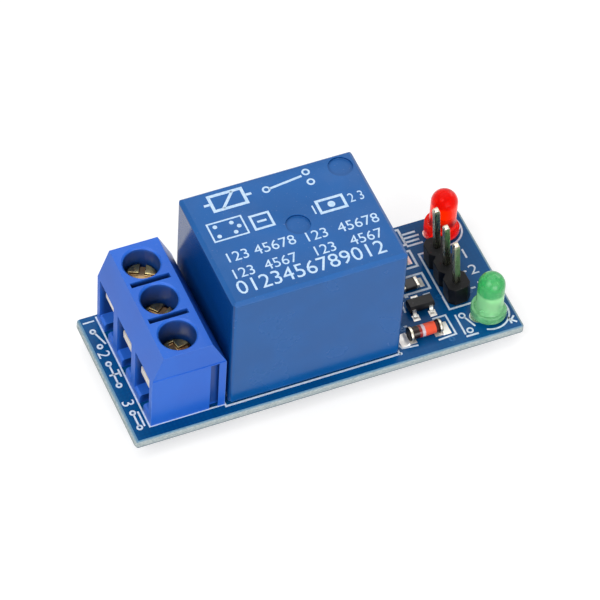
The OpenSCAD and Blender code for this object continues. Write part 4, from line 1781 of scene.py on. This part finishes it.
    @staticmethod
    def _resistor_boxes(kit: Kit) -> list[Box]:
        """Give the box of each resistor with its two caps.

        Args:
            kit: What the sub-assemblies share.

        Returns:
            Lowest and highest corner of each resistor.
        """
        rows: dict[int, list[Box]] = {}
        for low, high in kit.islands("resistor_caps"):
            rows.setdefault(round(low.y / (0.5 * MM)), []).append((low, high))
        return [
            (Vector(map(min, *(low for low, _ in row))), Vector(map(max, *(high for _, high in row))))
            for row in rows.values()
        ]

    def _header_marks(self, art: Print) -> None:
        """Print the header's outline and numerals, a contact symbol beside it, and rows of dashes.

        Args:
            art: The print.
        """
        x0, x1, y0, y1 = plan(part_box("header_carrier"))
        art.stroke([(x1, y0 - 0.2), (x0, y0 - 0.2), (x0, y1 + 0.2), (x1, y1 + 0.2)], self.line)
        for number, y in ((1, 2.3), (2, 0.0), (3, -2.35)):
            art.numerals(str(number), (x1 + 1.35, y - 0.35), self.mark, 0.0, 1.15)
            art.bar(x1 + 0.55, x1 + 1.1, y + 0.3, 0.22)
        art.pin((15.35, -4.75), down=True)
        art.arc((0.35, 0.8), 0.3, 0.18)
        art.stroke([(0.62, 0.95), (2.1, 1.55)], 0.2)
        art.arc((2.45, 0.8), 0.3, 0.18)
        art.bar(0.0, 2.8, 0.15)
        art.stroke([(3.1, 0.1), (3.1, 1.5)], 0.22)
        art.pin()
        for row in range(4):
            art.bar(14.55, 16.4 - 0.2 * (row % 2), 5.6 + 0.55 * row, 0.24)

    def _lamp_marks(self, art: Print) -> None:
        """Print an arc round each lamp, and a cathode mark.

        Args:
            art: The print.
        """
        for node in ("green_lamp_lens", "red_lamp_lens"):
            x0, _, y0, y1 = plan(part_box(node))
            art.arc((x0 + Lamp.flange / MM, (y0 + y1) / 2), 2.2, 0.2, -118.0, 58.0)
        x, y = self.high.x / MM - 0.85, self.low.y / MM + 0.62
        art.stroke([(x, y), (x, y + 0.9)])
        art.stroke([(x + 0.62, y), (x + 0.12, y + 0.45), (x + 0.62, y + 0.9)], 0.2)


@dataclass
class WireTerminal:
    """The moulded terminal block with its clamps and screws."""

    rounding: float = 0.04 * MM
    plate_rounding: float = 0.05 * MM
    screw_rounding: float = 0.07 * MM
    slot_depth: float = 0.7 * MM
    slot_radius: float = 1.78 * MM
    crest_radius: float = 1.43 * MM
    crest: float = 0.055 * MM
    thread_pitch: float = 0.5 * MM
    thread_start: float = 0.85 * MM
    thread_end: float = 1.35 * MM

    def build(self, kit: Kit, recipes: Recipes) -> None:
        """Dress the block and its metal, and cut a thread on each screw.

        Args:
            kit: What the sub-assemblies share.
            recipes: The geometry recipes.
        """
        kit.soften("terminal_housing", "terminal_block", Slot.TERMINAL, self.rounding)
        kit.dress("terminal_contacts", Slot.BRASS)
        for pole in POLES:
            plate, screw, body = f"clamp_plate_{pole}", f"clamp_screw_{pole}", f"screw_{pole}"
            kit.soften(plate, f"clamp_{pole}_metal", Slot.CLAMP, self.plate_rounding, body=f"clamp_{pole}")
            kit.soften(
                screw, f"{body}_metal", Slot.SCREW, self.screw_rounding, 2, 50.0, body, change=self._stain
            )
            kit.place(self._thread(kit, recipes, screw), f"{body}_thread", Slot.SCREW, body)

    def _stain(self, mesh: bpy.types.Mesh) -> None:
        """Mark how strongly each point of a screw takes a painted reflection, most on the floor of its slots.

        Args:
            mesh: The screw's mesh, which gets the painted reflection's strength as a point attribute.
        """
        points = np.empty(len(mesh.vertices) * 3)
        mesh.vertices.foreach_get("co", points)
        points = points.reshape(-1, 3)
        high = points.max(axis=0)
        off = np.abs(points[:, 2] - (high[2] - self.slot_depth))
        middle = (high[:2] + points.min(axis=0)[:2]) / 2
        inside = np.hypot(*(points[:, :2] - middle).T) < self.slot_radius
        marks = mesh.attributes.new(SLOT_REFLECTION, "FLOAT", "POINT")
        marks.data.foreach_set("value", np.clip(1.0 - off / self.slot_depth, 0.0, 1.0) * inside)

    def _thread(self, kit: Kit, recipes: Recipes, screw: str) -> bpy.types.Mesh:
        """Wind the crest of the thread round a screw's shank.

        Args:
            kit: What the sub-assemblies share.
            recipes: The geometry recipes.
            screw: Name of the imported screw.

        Returns:
            The thread.
        """
        low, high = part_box(screw)
        start = low.z + self.thread_start
        return recipes.coil.make(
            point_mesh([((low.x + high.x) / 2, (low.y + high.y) / 2, start)]),
            kit.palette[Slot.SCREW],
            Radius=self.crest_radius,
            Wire=self.crest,
            Pitch=self.thread_pitch,
            Length=high.z - self.thread_end - start,
        )


@dataclass
class Relay:
    """The boxed relay: its printed case and the works inside it."""

    rounding: float = 0.07 * MM
    wire: float = 0.055 * MM
    ink: float = 0.012 * MM
    works: tuple[tuple[str, Slot], ...] = (
        ("base", Slot.BASE),
        ("bobbin", Slot.BOBBIN),
        ("winding", Slot.WINDING),
        ("core", Slot.IRON),
        ("yoke", Slot.IRON),
        ("armature", Slot.IRON),
        ("contact_spring", Slot.SPRING),
        ("open_contact", Slot.SPRING),
        ("closed_contact", Slot.SPRING),
        ("coil_leads", Slot.LEAD),
    )
    frames: tuple[tuple[float, float, float, float, float], ...] = (
        (-6.7, -3.1, 4.6, 6.6, 0.34),
        (-8.2, -4.5, 0.8, 3.2, 0.18),
        (-3.7, -1.7, 0.9, 2.7, 0.26),
        (3.4, 6.2, 0.6, 2.2, 0.3),
    )
    bars: tuple[tuple[float, float, float, float], ...] = (
        (-7.5, -6.9, 5.6, 0.3),
        (-2.9, -2.3, 5.6, 0.3),
        (-3.2, -2.2, 1.8, 0.26),
    )
    rows: tuple[tuple[str, Point, float, float], ...] = (
        ("1", (2.4, 0.7), 1.2, 1.0),
        ("2 3", (6.7, 0.9), 1.2, 0.8),
        ("123 45678", (-8.2, -2.2), 1.25, 1.02),
        ("123  45678", (0.35, -2.45), 1.25, 1.02),
        ("123  4567", (-8.4, -4.4), 1.25, 1.0),
        ("123   4567", (0.45, -4.45), 1.25, 1.0),
        ("0123456789012", (-8.5, -6.45), 1.75, 1.0),
    )

    def build(self, kit: Kit, recipes: Recipes) -> None:
        """Dress the case and the works.

        Args:
            kit: What the sub-assemblies share.
            recipes: The geometry recipes.
        """
        kit.soften("relay_cover", "relay_case", Slot.RELAY, self.rounding, change=self._make_room)
        self._print(kit)
        for part, slot in self.works:
            kit.dress(f"relay_{part}", slot)
        low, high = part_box("relay_winding")
        mesh = recipes.coil.make(
            point_mesh([((low.x + high.x) / 2, (low.y + high.y) / 2, low.z + self.wire)]),
            kit.palette[Slot.WINDING],
            Radius=(high.x - low.x) / 2,
            Wire=self.wire,
            Pitch=2.2 * self.wire,
            Length=high.z - low.z - 2 * self.wire,
        )
        kit.place(mesh, "winding_turns", Slot.WINDING)

    def _make_room(self, mesh: bpy.types.Mesh) -> None:
        """Lower the top of the case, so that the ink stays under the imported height.

        Args:
            mesh: The case.
        """
        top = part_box("relay_cover")[1].z
        for vert in mesh.vertices:
            if vert.co.z > top - INK_FOOT:
                vert.co.z -= self.ink

    def _print(self, kit: Kit) -> None:
        """Print a coil and contact symbol, a pin plan and rows of plain numerals on the case.

        Args:
            kit: What the sub-assemblies share.
        """
        low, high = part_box("relay_cover")
        art = Print(high.z - self.ink, self.ink)
        art.pin(((low.x + high.x) / 2 / MM, (low.y + high.y) / 2 / MM))
        for frame in self.frames:
            art.frame(*frame)
        for bar in self.bars:
            art.bar(*bar)
        # slash of the coil and arm of the change-over contact
        art.stroke([(-5.7, 4.7), (-4.1, 6.5)], 0.3)
        art.stroke([(-0.35, 5.5), (3.4, 5.95)], 0.26)
        for spot in ((-0.7, 5.5), (4.0, 6.3), (4.0, 4.9)):
            art.arc(spot, 0.34, 0.2)
        for spot in ((-7.5, 1.35), (-7.5, 2.65), (-5.7, 1.35), (-5.7, 2.65), (-5.1, 2.0)):
            art.disc(spot, 0.24)
        art.disc((4.8, 1.4), 0.4)
        for text, start, size, spread in self.rows:
            art.numerals(text, start, size, 0.0, spread)
        kit.place(art.finish(), "case_print", Slot.RELAY, look=Look.CASE_PRINT)


@dataclass
class SupplyHeader:
    """The black carrier with its square pins."""

    rounding: float = 0.08 * MM
    pin_rounding: float = 0.025 * MM

    def build(self, kit: Kit) -> None:
        """Dress the carrier and the pins."""
        kit.soften("header_carrier", "pin_carrier", Slot.HEADER, self.rounding)
        kit.soften("header_pins", "square_pins", Slot.PIN, self.pin_rounding, 1, 60.0)


@dataclass
class Lamp:
    """One indicator lamp: a turned lens round its lead frame."""

    colour: str
    slot: Slot
    radius: float = 1.45 * MM
    flange: float = 1.925 * MM
    flange_height: float = 1.0 * MM
    soft: float = 0.12 * MM
    blunt: float = 0.94
    crease: float = 42.0
    steps: int = 72
    dome_steps: int = 14

    def build(self, kit: Kit) -> None:
        """Turn the lens and dress the lead frame.

        Args:
            kit: What the sub-assemblies share.
        """
        node = f"{self.colour}_lamp_lens"
        low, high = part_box(node)
        centre = Vector((low.x + self.flange, (low.y + high.y) / 2, low.z))
        mesh = lathe(self._profile(high.z - low.z), centre, self.steps)
        for vert in mesh.vertices:
            # flat on one side of the flange
            vert.co.x = min(vert.co.x, high.x)
        smooth(mesh, self.crease)
        kit.place(mesh, f"{self.colour}_lens", self.slot, replaces=node)
        kit.dress(f"{self.colour}_lamp_leads", Slot.LEAD)

    def _profile(self, tall: float) -> list[Point]:
        """Give the lens's outline from its foot to the top of its dome.

        Args:
            tall: Height of the lens.

        Returns:
            Radius and height of each point.
        """
        rim = self.flange - self.soft
        quarter = [math.radians(90 * step / 4) for step in range(5)]
        points = [(0.0, 0.0), (rim, 0.0)]
        for turn in quarter[1:]:
            points.append((rim + self.soft * math.sin(turn), self.soft - self.soft * math.cos(turn)))
        for turn in quarter:
            height = self.flange_height - self.soft + self.soft * math.sin(turn)
            points.append((rim + self.soft * math.cos(turn), height))
        # hollow curve from the flange into the shaft
        for out, up in ((0.2, 0.0), (0.11, 0.1), (0.05, 0.28), (0.02, 0.5), (0.005, 0.8)):
            points.append((self.radius + out * MM, self.flange_height + up * MM))
        for step in range(self.dome_steps):
            turn = math.radians(90 * step / self.dome_steps)
            wide = self.radius * math.cos(turn) ** self.blunt
            points.append((wide, tall - self.radius + self.radius * math.sin(turn)))
        return [*points, (0.0, tall)]


@dataclass
class SurfaceParts:
    """The transistor, the diode and the chip resistors, with their solder."""

    wetting: float = 0.42
    spread: float = 0.2 * MM
    grain: float = 0.045 * MM
    passes: int = 60

    def build(self, kit: Kit) -> None:
        """Dress the parts and shape their solder.

        Args:
            kit: What the sub-assemblies share.
        """
        kit.soften("transistor_body", "transistor_package", Slot.PACKAGE, 0.06 * MM, angle=25.0)
        kit.dress("transistor_leads", Slot.LEAD)
        kit.soften("diode_glass", "diode_tube", Slot.GLASS, 0.05 * MM)
        # the diode's caps wear a painted reflection and painted highlights
        kit.soften("diode_caps", "diode_ends", Slot.CAP, 0.1 * MM, look=Look.DIODE_CAP)
        kit.dress("diode_chip", Slot.CHIP)
        kit.soften("resistor_chips", "resistor_bodies", Slot.CHIP, 0.04 * MM)
        kit.soften("resistor_caps", "resistor_ends", Slot.CAP, 0.05 * MM)
        self._solder(kit)

    def _solder(self, kit: Kit) -> None:
        """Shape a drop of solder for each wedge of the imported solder, lower beside the diode.

        Args:
            kit: What the sub-assemblies share.
        """
        diode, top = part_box("diode_caps"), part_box("circuit_board")[1].z

        def sink(place: Vector) -> Vector:
            """Lower a point beside the diode to the height that the solder wets."""
            if diode[0].y - self.spread < place.y < diode[1].y + self.spread and place.z > top:
                place.z = top + (place.z - top) * self.wetting
            return place

        def free(height: float) -> float:
            """Hold the solder's foot to its pad, and free what lies higher."""
            return min(max((height - top - 0.08 * MM) / (0.2 * MM), 0.1), 1.0)

        mesh = kit.melted("top_solder", self.grain, self.passes, free, sink)
        kit.place(mesh, "surface_solder", Slot.SOLDER, replaces="top_solder")


@dataclass
class Underside:
    """The solder cones under the board."""

    grain: float = 0.07 * MM
    passes: int = 8

    def build(self, kit: Kit) -> None:
        """Round the cones."""
        mesh = kit.melted("pin_solder", self.grain, self.passes, lambda height: 1.0)
        kit.place(mesh, "solder_cones", Slot.SOLDER, replaces="pin_solder")


# ---------- studio ----------


@dataclass(frozen=True)
class Softbox:
    """A soft lamp that looks at the module."""

    name: str
    place: tuple[float, float, float]
    size: float
    level: float

    def build(self) -> None:
        """Hang the lamp so that it adds its level to a white surface that faces it."""
        light = bpy.data.lights.new(self.name, "AREA")
        light.shape = "SQUARE"
        light.size = self.size
        away = Vector(self.place)
        light.energy = self.level * math.pi**2 * away.length_squared
        lamp = put(self.name, light)
        lamp.location = away
        lamp.rotation_euler = away.to_track_quat("Z", "Y").to_euler()


@dataclass
class Studio:
    """Floor, soft light and camera."""

    world_level: float = 0.16
    floor_size: float = 3.0
    floor_level: float = 0.6
    camera_place: tuple[float, float, float] = (-0.121605, -0.250367, 0.343731)
    camera_turn: tuple[float, float, float] = (39.478, -2.577, -22.728)
    lens: float = 253.0
    softboxes: tuple[Softbox, ...] = (
        Softbox("overhead_box", (0.03, 0.2, 0.6), 0.6, 0.38),
        Softbox("front_box", (0.02, -0.62, 0.2), 0.4, 0.6),
        Softbox("left_box", (-0.4, -0.16, 0.46), 0.4, 0.62),
        Softbox("right_box", (0.5, 0.25, 0.3), 0.3, 0.2),
    )

    def build(self) -> None:
        """Set up the studio."""
        scene = bpy.context.scene
        scene.view_settings.view_transform = "Standard"
        scene.world = bpy.data.worlds.new("studio")
        scene.world.use_nodes = True
        kit = Tree(scene.world.node_tree)
        strength = self._shown(kit, self.world_level, 1.0)
        kit.wire(kit.tree.nodes["Background"], {"Color": WHITE, "Strength": strength})
        for box in self.softboxes:
            box.build()
        self._floor()
        self._camera()

    @staticmethod
    def _shown(kit: Tree, lit: float, shown: float) -> Socket:
        """Give one level to what is lit, and another to the eye, gloss and glass.

        Args:
            kit: Tree of the world or of a stage material.
            lit: Level that lights the module.
            shown: Level that is seen.

        Returns:
            The level's socket.
        """
        path = kit.node("ShaderNodeLightPath").outputs
        seen = kit.math("MAXIMUM", path["Is Camera Ray"], path["Is Glossy Ray"])
        seen = kit.math("MAXIMUM", seen, path["Is Transmission Ray"])
        return kit.math("MULTIPLY_ADD", seen, shown - lit, lit)

    def _floor(self) -> None:
        """Lay a pale floor that shows white round the module and keeps its shadow."""
        half = self.floor_size / 2
        mesh = bpy.data.meshes.new("floor")
        sides = ((-half, -half), (half, -half), (half, half), (-half, half))
        mesh.from_pydata([(x, y, 0.0) for x, y in sides], [], [range(4)])
        material = bpy.data.materials.new("pale_floor")
        material.use_nodes = True
        kit = Tree(material.node_tree)
        under = kit.node("ShaderNodeNewGeometry").outputs["Backfacing"]
        kit.wire(
            kit.tree.nodes["Principled BSDF"],
            {
                "Base Color": (0.5, 0.5, 0.5, 1),
                "Roughness": 0.9,
                "Specular IOR Level": 0.0,
                "Emission Color": WHITE,
                "Emission Strength": self._shown(kit, 0.0, self.floor_level),
                "Alpha": kit.math("SUBTRACT", 1.0, under),
            },
        )
        mesh.materials.append(material)
        put("floor", mesh)

    def _camera(self) -> None:
        """Place the camera."""
        data = bpy.data.cameras.new("camera")
        data.lens, data.sensor_width = self.lens, 36.0
        data.clip_start, data.clip_end = 0.01, 10.0
        camera = put("camera", data)
        camera.location = self.camera_place
        camera.rotation_euler = Euler([math.radians(a) for a in self.camera_turn], "XYZ")
        bpy.context.scene.camera = camera


def main() -> None:
    """Build the whole scene."""
    logging.basicConfig(level=logging.INFO, format="%(name)s: %(message)s")
    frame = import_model()
    kit = Kit(frame["nodes"])
    recipes = Recipes()
    CircuitBoard().build(kit, recipes)
    WireTerminal().build(kit, recipes)
    Relay().build(kit, recipes)
    SupplyHeader().build(kit)
    Lamp("green", Slot.GREEN).build(kit)
    Lamp("red", Slot.RED).build(kit)
    SurfaceParts().build(kit)
    Underside().build(kit)
    Studio().build()
    LOG.info("%d pieces made", kit.count)


if __name__ == "__main__":
    main()
